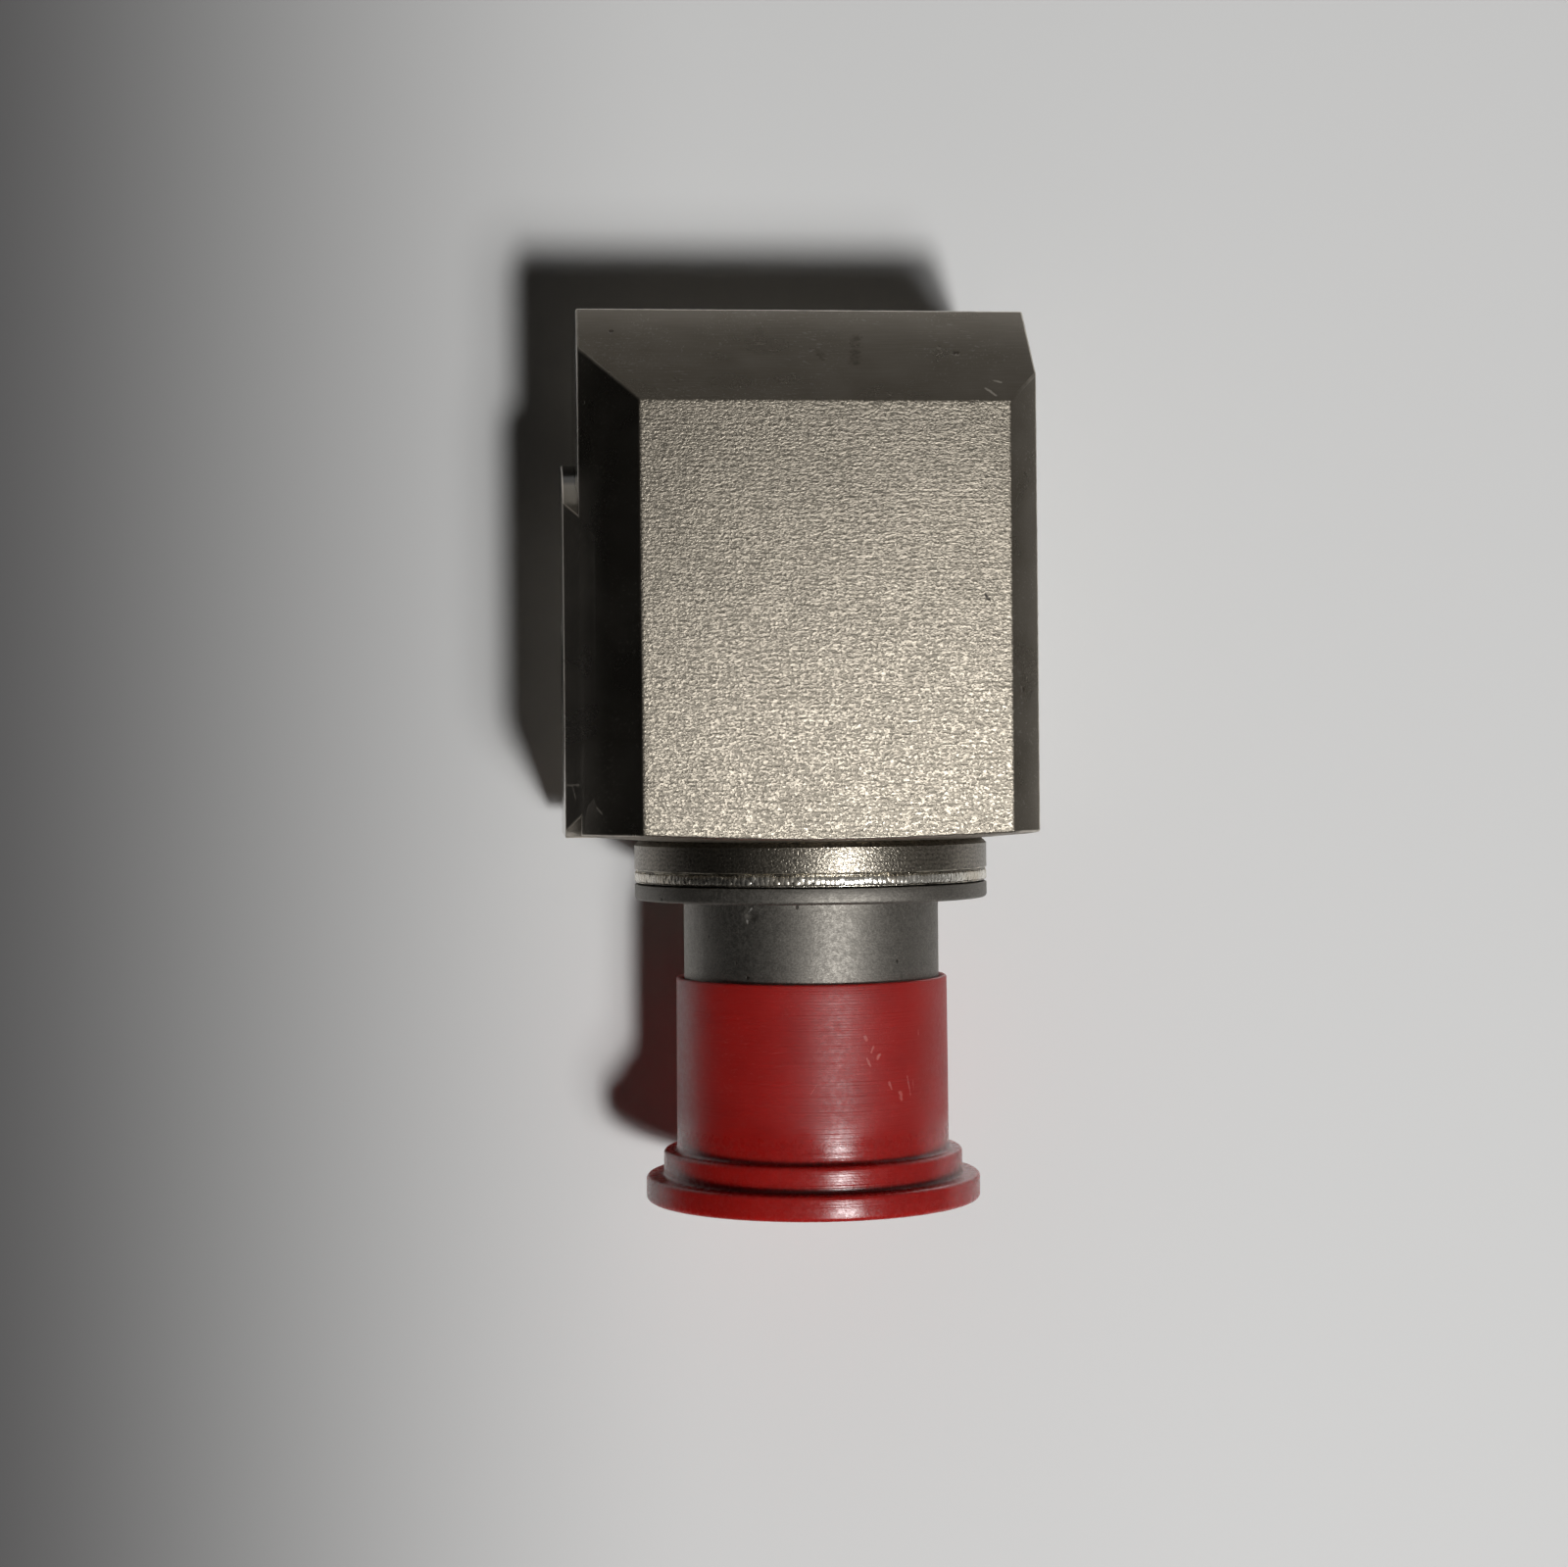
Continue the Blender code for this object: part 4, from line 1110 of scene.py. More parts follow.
def run_nodes(name: str, tree: NodeTree, values: dict[str, object]) -> Object:
    """Run a Geometry Nodes tree on an empty mesh and keep its result as a plain mesh.

    Args:
        name: the new object's name.
        tree: the tree.
        values: its inputs by name.

    Returns:
        The object.
    """
    thing = add_object(name, bpy.data.meshes.new(name))
    modifier = thing.modifiers.new("nodes", "NODES")
    modifier.node_group = tree
    keys = {item.name: item.identifier for item in tree.interface.items_tree if item.in_out == "INPUT"}
    for label, value in values.items():
        modifier[keys[label]] = value
    return plain_mesh(thing)


@dataclass
class Thread:
    """A screw thread's ridge, wound by Geometry Nodes along a spiral."""

    name: str
    root: float
    crest: float
    pitch: float
    turns: float
    start: float
    axis: Axis
    centre: Vector
    base_share: float = 0.86
    top_share: float = 0.14
    resolution: int = 48

    def tree(self, material: Material) -> NodeTree:
        """Make the tree that sweeps the ridge's section along a spiral.

        Args:
            material: the ridge's material.

        Returns:
            The tree.
        """
        graph, given, taken = new_group(
            f"{self.name}_nodes", TreeKind.GEOMETRY,
            {"Radius": 0.0, "Height": 0.0, "Turns": 1.0, "Length": 0.0, "Base Width": 0.0, "Top Width": 0.0,
             "Place": Vector(), "Turn": Euler(), "Material": material}, "Geometry")
        spiral = graph.node("GeometryNodeCurveSpiral", {
            "Resolution": self.resolution, "Rotations": given.outputs["Turns"],
            "Start Radius": given.outputs["Radius"], "End Radius": given.outputs["Radius"],
            "Height": given.outputs["Length"]})
        upright = graph.node("GeometryNodeSetCurveNormal", {"Curve": spiral.outputs["Curve"]}, mode="Z_UP")
        section = graph.node("GeometryNodeCurvePrimitiveQuadrilateral", {
            "Bottom Width": given.outputs["Base Width"], "Top Width": given.outputs["Top Width"],
            "Height": given.outputs["Height"], "Offset": 0.0}, mode="TRAPEZOID")
        swept = graph.node("GeometryNodeCurveToMesh", {
            "Curve": upright.outputs["Curve"], "Profile Curve": section.outputs["Curve"], "Fill Caps": True})
        end_tree(graph, given, taken, swept.outputs["Mesh"], given.outputs["Turn"])
        return graph.tree

    def build(self, material: Material) -> Object:
        """Make the ridge as a plain mesh in its place.

        Args:
            material: the ridge's material.

        Returns:
            The object.
        """
        along = self.axis.value[0]
        turned = along.to_track_quat("Z", "Y").to_euler()
        values = {
            "Radius": (self.root + self.crest) / 2, "Height": abs(self.crest - self.root),
            "Turns": self.turns, "Length": self.turns * self.pitch,
            "Base Width": self.pitch * self.base_share, "Top Width": self.pitch * self.top_share,
            "Place": self.centre + along * self.start, "Turn": turned}
        thing = run_nodes(self.name, self.tree(material), values)
        shape = bmesh.new()
        shape.from_mesh(thing.data)
        bmesh.ops.recalc_face_normals(shape, faces=shape.faces)
        shape.to_mesh(thing.data)
        shape.free()
        return thing


@dataclass
class WeldSeam:
    """The ring of overlapping ripples that a weld leaves between collar and flange."""

    radius: float = 0.01089
    station: float = 0.00243
    count: int = 230
    length: float = 0.00070
    width: float = 0.00072
    height: float = 0.00017
    jitter: float = 0.13
    lean: Point = (0.03, 0.03, 0.12)
    seed: int = 5
    segments: int = 8
    rings: int = 5

    def tree(self, material: Material) -> NodeTree:
        """Make the tree that sets a squashed bead on each point of a ring.

        Args:
            material: the beads' material.

        Returns:
            The tree.
        """
        graph, given, taken = new_group(
            "weld_seam_nodes", TreeKind.GEOMETRY,
            {"Radius": 0.0, "Count": 8, "Bead Size": Vector(), "Jitter": 0.0, "Seed": 0, "Place": Vector(),
             "Material": material}, "Geometry")
        ring = graph.node("GeometryNodeCurvePrimitiveCircle", {
            "Resolution": given.outputs["Count"], "Radius": given.outputs["Radius"]})
        points = graph.node("GeometryNodeCurveToPoints", {"Curve": ring.outputs["Curve"]}, mode="EVALUATED")
        bead = graph.node("GeometryNodeMeshUVSphere", {
            "Segments": self.segments, "Rings": self.rings, "Radius": 0.5})
        smallest = graph.math("SUBTRACT", 1.0, given.outputs["Jitter"])
        spread = graph.node("FunctionNodeRandomValue", {
            2: smallest, 3: 1.0, "Seed": given.outputs["Seed"]}, data_type="FLOAT")
        lean = graph.node("FunctionNodeRandomValue", {
            0: [-angle for angle in self.lean], 1: self.lean, "Seed": given.outputs["Seed"]},
            data_type="FLOAT_VECTOR")
        leaning = graph.node("FunctionNodeRotateRotation", {
            0: points.outputs["Rotation"], 1: lean.outputs[0]}, rotation_space="LOCAL")
        size = graph.scaled(given.outputs["Bead Size"], spread.outputs[1])
        placed = graph.node("GeometryNodeInstanceOnPoints", {
            "Points": points.outputs["Points"], "Instance": bead.outputs["Mesh"],
            "Rotation": leaning.outputs[0], "Scale": size})
        end_tree(graph, given, taken, placed.outputs["Instances"], (0.0, math.pi / 2, 0.0))
        return graph.tree

    def build(self, material: Material) -> Object:
        """Make the finished seam.

        Args:
            material: the beads' material.

        Returns:
            The piece.
        """
        values = {"Radius": self.radius, "Count": self.count, "Jitter": self.jitter, "Seed": self.seed,
                  "Bead Size": (self.height, self.length, self.width),
                  "Place": AXIS_START + Vector((self.station, 0.0, 0.0))}
        thing = run_nodes("weld_seam", self.tree(material), values)
        shade_round(thing, 180.0)
        return declare(thing, Slot.BLASTED)


@dataclass
class Housing:
    """The block with its chamfers, boss and collar, bored out for the sensing element.

    Tools reach past what they cut or join by the overlap. The front is cut into rays, so that it can rise
    evenly towards the collar.
    """

    length: float = 0.03175
    width: float = 0.0254
    height: float = 0.0270
    back_chamfer: float = 0.00625
    top_chamfer: float = 0.00187
    bottom_chamfer: float = 0.0035
    relief_angle: float = math.radians(4.5)
    boss_diameter: float = 0.0254
    boss_height: float = 0.0009
    boss_setback: float = 0.0103
    boss_round: float = 0.00009
    edge_round: float = 0.00016
    collar_diameter: float = 0.02195
    collar_length: float = 0.00208
    collar_chamfer: float = 0.00035
    collar_round: float = 0.00012
    collar_lip: float = 0.00016
    collar_root: float = 0.002
    weld_front: float = 0.00278
    weld_groove: float = 0.00012
    weld_bed: float = 0.0002
    spigot_bore: float = 0.01830
    spigot_depth: float = 0.0010
    cavity_diameter: float = 0.016805
    cavity_depth: float = 0.0218
    board_bore: float = 0.014805
    board_depth: float = 0.0245
    floor_z: float = 0.00875
    floor_setback: float = 0.0006
    floor_stock: tuple[float, float] = (0.02, 0.008)
    stud_bore: float = 0.0063
    stud_mouth: float = 0.0065
    stud_depth: float = 0.0050
    stud_point: float = 0.0006
    thread_crest: float = 0.00277
    thread_pitch: float = 0.000907
    thread_turns: float = 4.1
    thread_start: float = 0.0004
    thread_bite: float = 0.00005
    overlap: float = 0.001
    steps: int = 192
    boss_steps: int = 160
    bore_steps: int = 96
    rays: int = 48
    facet_range: tuple[float, float] = (-0.85, -0.4)

    @property
    def boss_centre(self) -> Vector:
        """The middle of the boss's face, where the stud hole stands too."""
        return Vector((FRONT_X - self.boss_setback, 0.0, 0.0))

    def planes(self) -> list[tuple[Vector, Vector]]:
        """List the chamfers.

        Returns:
            A point on each and the direction that it faces.
        """
        half = self.width / 2
        top = self.boss_height + self.height - self.top_chamfer
        low = self.boss_height + self.bottom_chamfer
        back = FRONT_X - self.length + self.back_chamfer
        result = []
        for side in (-1.0, 1.0):
            result.append((Vector((0.0, side * half, low)), Vector((0.0, side, -1.0)).normalized()))
            result.append((Vector((0.0, side * half, top)), Vector((0.0, side, 1.0)).normalized()))
            result.append((Vector((back, side * half, 0.0)), Vector((-1.0, side, 0.0)).normalized()))
        return result

    def cut_away(self, shape: BMesh, point: Vector, facing: Vector) -> None:
        """Cut off what lies past a plane and close the cut.

        Args:
            shape: the body.
            point: a point on the plane.
            facing: the plane's direction, towards what is cut off.
        """
        everything = shape.verts[:] + shape.edges[:] + shape.faces[:]
        made = bmesh.ops.bisect_plane(shape, geom=everything, dist=CUT_MARGIN, plane_co=point,
                                      plane_no=facing, clear_outer=True)
        rim = [edge for edge in made["geom_cut"] if isinstance(edge, BMEdge)]
        bmesh.ops.holes_fill(shape, edges=rim, sides=0)

    def round_edges(self, shape: BMesh, edges: list[BMEdge], radius: float) -> None:
        """Round edges, and mark what lies along the middle of each as worn.

        Args:
            shape: the body.
            edges: the edges to round.
            radius: how far in from the edge the rounding starts.
        """
        worn = shape.verts.layers.float.get("worn") or shape.verts.layers.float.new("worn")
        shape.normal_update()
        flat = [face.normal.copy() for face in shape.faces]
        bmesh.ops.bevel(shape, geom=edges, offset=radius, offset_type="OFFSET", segments=4, profile=0.5,
                        affect="EDGES", clamp_overlap=False)
        shape.normal_update()
        facing = np.array([tuple(normal) for normal in flat])
        alike = math.cos(math.radians(1.2))
        old = {face for face in shape.faces if np.max(facing @ np.array(face.normal)) > alike}
        for vertex in shape.verts:
            if old.isdisjoint(vertex.link_faces):
                vertex[worn] = 1.0

    def paint_faces(self, shape: BMesh) -> None:
        """Give each face its surface.

        The broad sides and the front are blasted, the underside is spot-faced and the rest is milled.

        Args:
            shape: the block.
        """
        shape.normal_update()
        for face in shape.faces:
            broad = abs(face.normal.y) > SQUARE_ON or face.normal.x > SQUARE_ON
            under = Surface.BOSS if face.normal.z < -SQUARE_ON else Surface.MILLED
            face.material_index = Surface.BLASTED if broad else under

    def relieve_front(self, shape: BMesh) -> None:
        """Cut the front into rays from the connector's axis and raise it into a flat cone.

        Args:
            shape: the block.
        """
        front = FRONT_X - 1.2 * self.edge_round
        for index in range(self.rays):
            angle = math.pi * (index + 0.5) / self.rays
            faces = [f for f in shape.faces if all(v.co.x > front for v in f.verts)]
            near = list(dict.fromkeys(edge for face in faces for edge in face.edges))
            corners = list(dict.fromkeys(vertex for face in faces for vertex in face.verts))
            across = (0.0, -math.sin(angle), math.cos(angle))
            bmesh.ops.bisect_plane(shape, geom=corners + near + faces, dist=CUT_MARGIN,
                                   plane_co=(0.0, 0.0, AXIS_Z), plane_no=across)
        for vertex in shape.verts:
            if vertex.co.x > front:
                radius = math.hypot(vertex.co.y, vertex.co.z - AXIS_Z)
                vertex.co.x += (self.width / 2 - radius) * math.tan(self.relief_angle)

    def make_block(self) -> Object:
        """Make the block with its chamfers, rounded edges and relieved front.

        Returns:
            The object.
        """
        shape = cuboid((self.length, self.width, self.height),
                       (FRONT_X - self.length / 2, 0.0, self.boss_height + self.height / 2))
        for point, facing in self.planes():
            self.cut_away(shape, point, facing)
        self.round_edges(shape, shape.edges[:], self.edge_round)
        self.relieve_front(shape)
        worn = shape.verts.layers.float["worn"]
        for vertex in shape.verts:
            broad = abs(vertex.co.y) > self.width / 2 - 1.1 * self.edge_round
            if broad and vertex.co.x < FRONT_X - self.edge_round:
                vertex[worn] = 0.0
        self.paint_faces(shape)
        return settle("housing_shell", shape)

    def make_boss(self) -> Object:
        """Make the round boss under the block, cut by the same chamfers, which leave milled facets on it.

        Returns:
            The object.
        """
        rise = self.boss_height + self.overlap
        profile = [(0.0, rise), (self.boss_diameter / 2, rise), (self.boss_diameter / 2, 0.0), (0.0, 0.0)]
        boss = turn("boss_tool", profile, self.boss_steps, self.boss_centre, Axis.STUD, surface=Surface.BOSS)
        shape = bmesh.new()
        shape.from_mesh(boss.data)
        for point, facing in self.planes():
            if facing.z < 0.0:
                self.cut_away(shape, point, facing)
        front = FRONT_X + (self.width / 2 - AXIS_Z + self.boss_height / 2) * math.tan(self.relief_angle)
        self.cut_away(shape, Vector((front, 0.0, 0.0)), Vector((1.0, 0.0, 0.0)))
        flat, corner = math.radians(0.5), math.radians(30.0)
        bmesh.ops.dissolve_limit(shape, angle_limit=flat, verts=shape.verts, edges=shape.edges)
        sharp = [edge for edge in shape.edges if edge.calc_face_angle(0.0) > corner]
        self.round_edges(shape, sharp, self.boss_round)
        steepest, flattest = self.facet_range
        for face in shape.faces:
            if steepest < face.normal.z < flattest:
                face.material_index = Surface.MILLED
        shape.to_mesh(boss.data)
        shape.free()
        return boss

    def make_collar(self) -> Object:
        """Make the collar with the bed of the weld, rooted inside the block.

        Returns:
            The object.
        """
        outer, front = self.collar_diameter / 2, self.collar_length
        bed = outer - self.weld_groove
        face = (self.width / 2 - outer) * math.tan(self.relief_angle)
        profile = [(0.0, self.weld_front), (bed, self.weld_front), (bed, front + self.weld_bed), (bed, front)]
        profile += arc((outer - self.collar_round, front - self.collar_lip), self.collar_round, 60.0, 0.0, 3)
        profile += [(outer, face + self.collar_chamfer), (outer - self.collar_chamfer, face),
                    (outer - self.collar_chamfer, -self.collar_root), (0.0, -self.collar_root)]
        return turn("collar_tool", profile, self.steps, AXIS_START, surface=Surface.COLLAR)

    def make_cavity(self) -> Object:
        """Make the bored space for the element, less the flat floor that is left standing.

        Returns:
            The object.
        """
        past = 2 * self.overlap
        spigot, cavity, board = self.spigot_bore / 2, self.cavity_diameter / 2, self.board_bore / 2
        profile = [(0.0, self.weld_front + past), (spigot, self.weld_front + past),
                   (spigot, -self.spigot_depth), (cavity, -self.spigot_depth),
                   (cavity, -self.cavity_depth), (board, -self.cavity_depth),
                   (board, -self.board_depth), (0.0, -self.board_depth)]
        bore = turn("cavity_tool", profile, self.bore_steps, AXIS_START, surface=Surface.BORED)
        front = FRONT_X - self.spigot_depth - self.floor_setback
        rear = FRONT_X - self.board_depth - past
        width, height = self.floor_stock
        floor = cuboid((front - rear, width, height), ((front + rear) / 2, 0.0, self.floor_z - height / 2),
                       Surface.BORED)
        combine(bore, settle("floor_tool", floor), Step.CUT)
        return bore

    def make_stud_hole(self) -> Object:
        """Make the hole for the mounting stud, with its countersink and drill point.

        Returns:
            The object.
        """
        bore, mouth = self.stud_bore / 2, self.stud_mouth / 2
        profile = [(0.0, -self.overlap), (mouth + self.overlap, -self.overlap), (mouth, 0.0),
                   (bore, mouth - bore), (bore, self.stud_depth - self.stud_point), (0.0, self.stud_depth)]
        return turn("stud_hole_tool", profile, self.bore_steps, self.boss_centre, Axis.STUD,
                    surface=Surface.BORED)

    def build(self, materials: dict[Surface, Material]) -> Object:
        """Make the finished block.

        Args:
            materials: the material of each surface.

        Returns:
            The piece.
        """
        block = self.make_block()
        tools = [(self.make_boss(), Step.JOIN), (self.make_collar(), Step.JOIN),
                 (self.make_cavity(), Step.CUT), (self.make_stud_hole(), Step.CUT)]
        for thing in (block, *(tool for tool, _ in tools)):
            for surface in Surface:
                thing.data.materials.append(materials[surface])
        for tool, step in tools:
            combine(block, tool, step)
        shade_round(block)
        return declare(block, Slot.BLASTED, "housing")

    def build_thread(self, material: Material) -> Object:
        """Make the thread in the stud hole.

        Args:
            material: the thread's material.

        Returns:
            The piece.
        """
        thread = Thread("stud_thread", root=self.stud_bore / 2 + self.thread_bite, crest=self.thread_crest,
                        pitch=self.thread_pitch, turns=self.thread_turns, start=self.thread_start,
                        axis=Axis.STUD, centre=self.boss_centre)
        return declare(thread.build(material), Slot.BLASTED)


@dataclass
class Connector:
    """The turned shell of the two-pin connector: flange, barrel, threaded nose and keyed socket."""

    flange_rear: float = 0.00288
    flange_front: float = 0.00385
    barrel_front: float = 0.00965
    nose_rear: float = 0.01045
    nose_front: float = 0.02085
    shell_rear: float = 0.00038
    flange_diameter: float = 0.02195
    flange_round: float = 0.00023
    flange_break: float = 0.00008
    spigot_diameter: float = 0.0180
    barrel_diameter: float = 0.015875
    barrel_round: float = 0.0001
    barrel_fillet: float = 0.00015
    nose_diameter: float = 0.0157
    nose_lip: tuple[tuple[float, float], ...] = ((0.0007, 0.0), (0.0004, 0.0001), (0.00015, 0.0004))
    nose_shoulder: float = 0.0001
    socket_diameter: float = 0.0124
    socket_round: float = 0.0003
    seal_bore: float = 0.0128
    ledge_diameter: float = 0.0116
    ledge_front: float = 0.01065
    ledge_rear: float = 0.01015
    relief_depth: float = 0.0006
    keyway_width: float = 0.0018
    keyway_depth: float = 0.0007
    keyway_past: float = 0.002
    thread_depth: float = 0.00055
    thread_pitch: float = 0.001058
    thread_bite: float = 0.00003
    root_rear: float = 0.0003
    root_front: float = 0.0008
    thread_start: float = 0.0005
    thread_end: float = 0.0013
    dent_station: float = 0.0047
    dent_angle: float = math.radians(213.0)
    dent_reach: float = 0.00055
    dent_narrowing: float = 1.5
    dent_depth: float = 0.00018
    longest_step: float = 0.00022
    steps: int = 288

    def dent(self, station: float, angle: float) -> float:
        """Say how far the barrel's skin moves out.

        Args:
            station: where along the axis.
            angle: where round the axis.

        Returns:
            The distance, below zero in the dent.
        """
        away = math.remainder(angle - self.dent_angle, math.tau) * self.barrel_diameter / 2
        near = math.hypot(away, (station - self.dent_station) * self.dent_narrowing) / self.dent_reach
        return -self.dent_depth * max(0.0, 1.0 - near * near) ** 2

    def profile(self) -> Profile:
        """Draw the shell's outline, from the nose back along the outside and forward along the bore.

        Returns:
            The outline.
        """
        flange, barrel = self.flange_diameter / 2, self.barrel_diameter / 2
        nose, socket = self.nose_diameter / 2, self.socket_diameter / 2
        root, relief, tip = nose - self.thread_depth, barrel - self.relief_depth, self.nose_front
        skin, fillet = self.barrel_round, self.barrel_fillet
        rim, edge, lip = self.flange_round, self.flange_break, self.socket_round
        points = [(nose - inward, tip - back) for inward, back in self.nose_lip]
        points += [(root, tip - self.root_front), (root, self.nose_rear + self.root_rear),
                   (nose, self.nose_rear + self.nose_shoulder), (nose, self.nose_rear),
                   (relief, self.nose_rear), (relief, self.barrel_front)]
        points += arc((barrel - skin, self.barrel_front - skin), skin, 90.0, 0.0, 2)
        points += stretch([(barrel, self.barrel_front - skin), (barrel, self.flange_front + fillet)],
                          self.longest_step)[1:]
        points += arc((barrel + fillet, self.flange_front + fillet), fillet, 180.0, 270.0, 3)[1:]
        points += arc((flange - rim, self.flange_front - rim), rim, 90.0, 0.0, 5)
        points += arc((flange - edge, self.flange_rear + edge), edge, 0.0, -90.0, 2)
        points += [(self.spigot_diameter / 2, self.flange_rear), (self.spigot_diameter / 2, self.shell_rear),
                   (self.seal_bore / 2, self.shell_rear), (self.seal_bore / 2, self.ledge_rear),
                   (self.ledge_diameter / 2, self.ledge_rear), (self.ledge_diameter / 2, self.ledge_front),
                   (socket, self.ledge_front), (socket, tip - lip)]
        return points + arc((socket + lip, tip - lip), lip, 180.0, 90.0, 3)[1:]

    def build(self, material: Material) -> Object:
        """Make the finished shell.

        Args:
            material: the shell's material.

        Returns:
            The piece.
        """
        shell = turn("connector_body", self.profile(), self.steps, AXIS_START, bend=self.dent)
        length = self.nose_front - self.ledge_rear + self.keyway_past
        middle = AXIS_START + Vector((self.nose_front + self.keyway_past - length / 2, 0.0,
                                      self.socket_diameter / 2))
        keyway = cuboid((length, self.keyway_width, 2 * self.keyway_depth), middle)
        combine(shell, settle("keyway_tool", keyway), Step.CUT)
        shell.data.materials.clear()
        shell.data.materials.append(material)
        shade_round(shell)
        return declare(shell, Slot.MACHINED, "connector_shell")

    def build_thread(self, material: Material) -> Object:
        """Make the coupling thread round the nose.

        Args:
            material: the thread's material.

        Returns:
            The piece.
        """
        crest = self.nose_diameter / 2
        length = self.nose_front - self.nose_rear - self.thread_end
        thread = Thread("coupling_thread", root=crest - self.thread_depth - self.thread_bite, crest=crest,
                        pitch=self.thread_pitch, turns=length / self.thread_pitch,
                        start=self.nose_rear + self.thread_start, axis=Axis.CONNECTOR, centre=AXIS_START,
                        base_share=0.9)
        return declare(thread.build(material), Slot.MACHINED)


@dataclass
class Cap:
    """The push-on cap: a thin sleeve with a step ring and a flange at its closed end."""

    mouth: float = 0.00872
    ring_step: float = 0.01945
    flange_step: float = 0.02101
    floor: float = 0.02125
    front: float = 0.02253
    bore_diameter: float = 0.016095
    mouth_diameter: float = 0.01686
    step_diameter: float = 0.01695
    ring_diameter: float = 0.01862
    flange_diameter: float = 0.02082
    edge_round: float = 0.00025
    lip_round: float = 0.00013
    foot_fillet: float = 0.0003
    ring_fillet: float = 0.0002
    bore_break: float = 0.00012
    bore_corner: float = 0.0003
    end_step: float = 0.0016
    sleeve_step: float = 0.0007
    wobble: float = 0.000012
    wobble_scale: tuple[float, float] = (1.3, 160.0)
    burr: float = 0.00004
    burr_scale: tuple[float, float] = (9.0, 900.0)
    burr_place: float = 0.0007
    burr_reach: float = 0.0009
    steps: int = 192

    def waver(self, station: float, angle: float, scale: tuple[float, float]) -> float:
        """Take a noise on the cap's skin.

        Args:
            station: where along the axis.
            angle: where round the axis.
            scale: how fine it is round the axis and along it.

        Returns:
            The noise, from -1 to 1.
        """
        around, along = scale
        return noise.noise(Vector((math.cos(angle) * around, math.sin(angle) * around, station * along)))

    def uneven(self, station: float, angle: float) -> float:
        """Say how far the soft plastic stands off a true circle.

        Args:
            station: where along the axis.
            angle: where round the axis.

        Returns:
            The distance, mostly below zero along the flange's edge.
        """
        away = abs(station - self.flange_step - self.burr_place)
        near_edge = max(0.0, 1.0 - away / self.burr_reach)
        rough = max(0.0, self.waver(station, angle, self.burr_scale))
        return self.wobble * self.waver(station, angle, self.wobble_scale) - self.burr * near_edge * rough

    def profile(self) -> Profile:
        """Draw the cap's outline, from the closed end back to the mouth and in along the bore.

        Returns:
            The outline.
        """
        mouth, step = self.mouth_diameter / 2, self.step_diameter / 2
        ring, flange, bore = self.ring_diameter / 2, self.flange_diameter / 2, self.bore_diameter / 2
        edge, lip, foot, fillet = self.edge_round, self.lip_round, self.foot_fillet, self.ring_fillet
        points = stretch([(0.0, self.front), (flange - edge, self.front)], self.end_step)
        points += arc((flange - edge, self.front - edge), edge, 90.0, 0.0, 5)[1:]
        points += [(flange, (self.front + self.flange_step) / 2)]
        points += arc((flange - edge, self.flange_step + edge), edge, 0.0, -90.0, 5)
        points += arc((ring + fillet, self.flange_step - fillet), fillet, 90.0, 180.0, 4)
        points += [(ring, (self.flange_step + self.ring_step) / 2)]
        points += arc((ring - edge, self.ring_step + edge), edge, 0.0, -90.0, 5)
        points += arc((step + foot, self.ring_step - foot), foot, 90.0, 180.0, 6)
        points += stretch([(step, self.ring_step - foot), (mouth, self.mouth + lip)], self.sleeve_step)[1:]
        points += arc((mouth - lip, self.mouth + lip), lip, 0.0, -90.0, 3)[1:]
        return points + [(bore + self.bore_break, self.mouth), (bore, self.mouth + lip),
                         (bore, self.floor - self.bore_corner), (bore - self.bore_corner, self.floor),
                         (0.0, self.floor)]

    def build(self, material: Material) -> Object:
        """Make the finished cap.

        Args:
            material: the cap's material.

        Returns:
            The piece.
        """
        cap = turn("cap_shell", self.profile(), self.steps, AXIS_START, bend=self.uneven)
        cap.data.materials.append(material)
        shade_round(cap, 50.0)
        return declare(cap, Slot.CAP, "protective_cap")


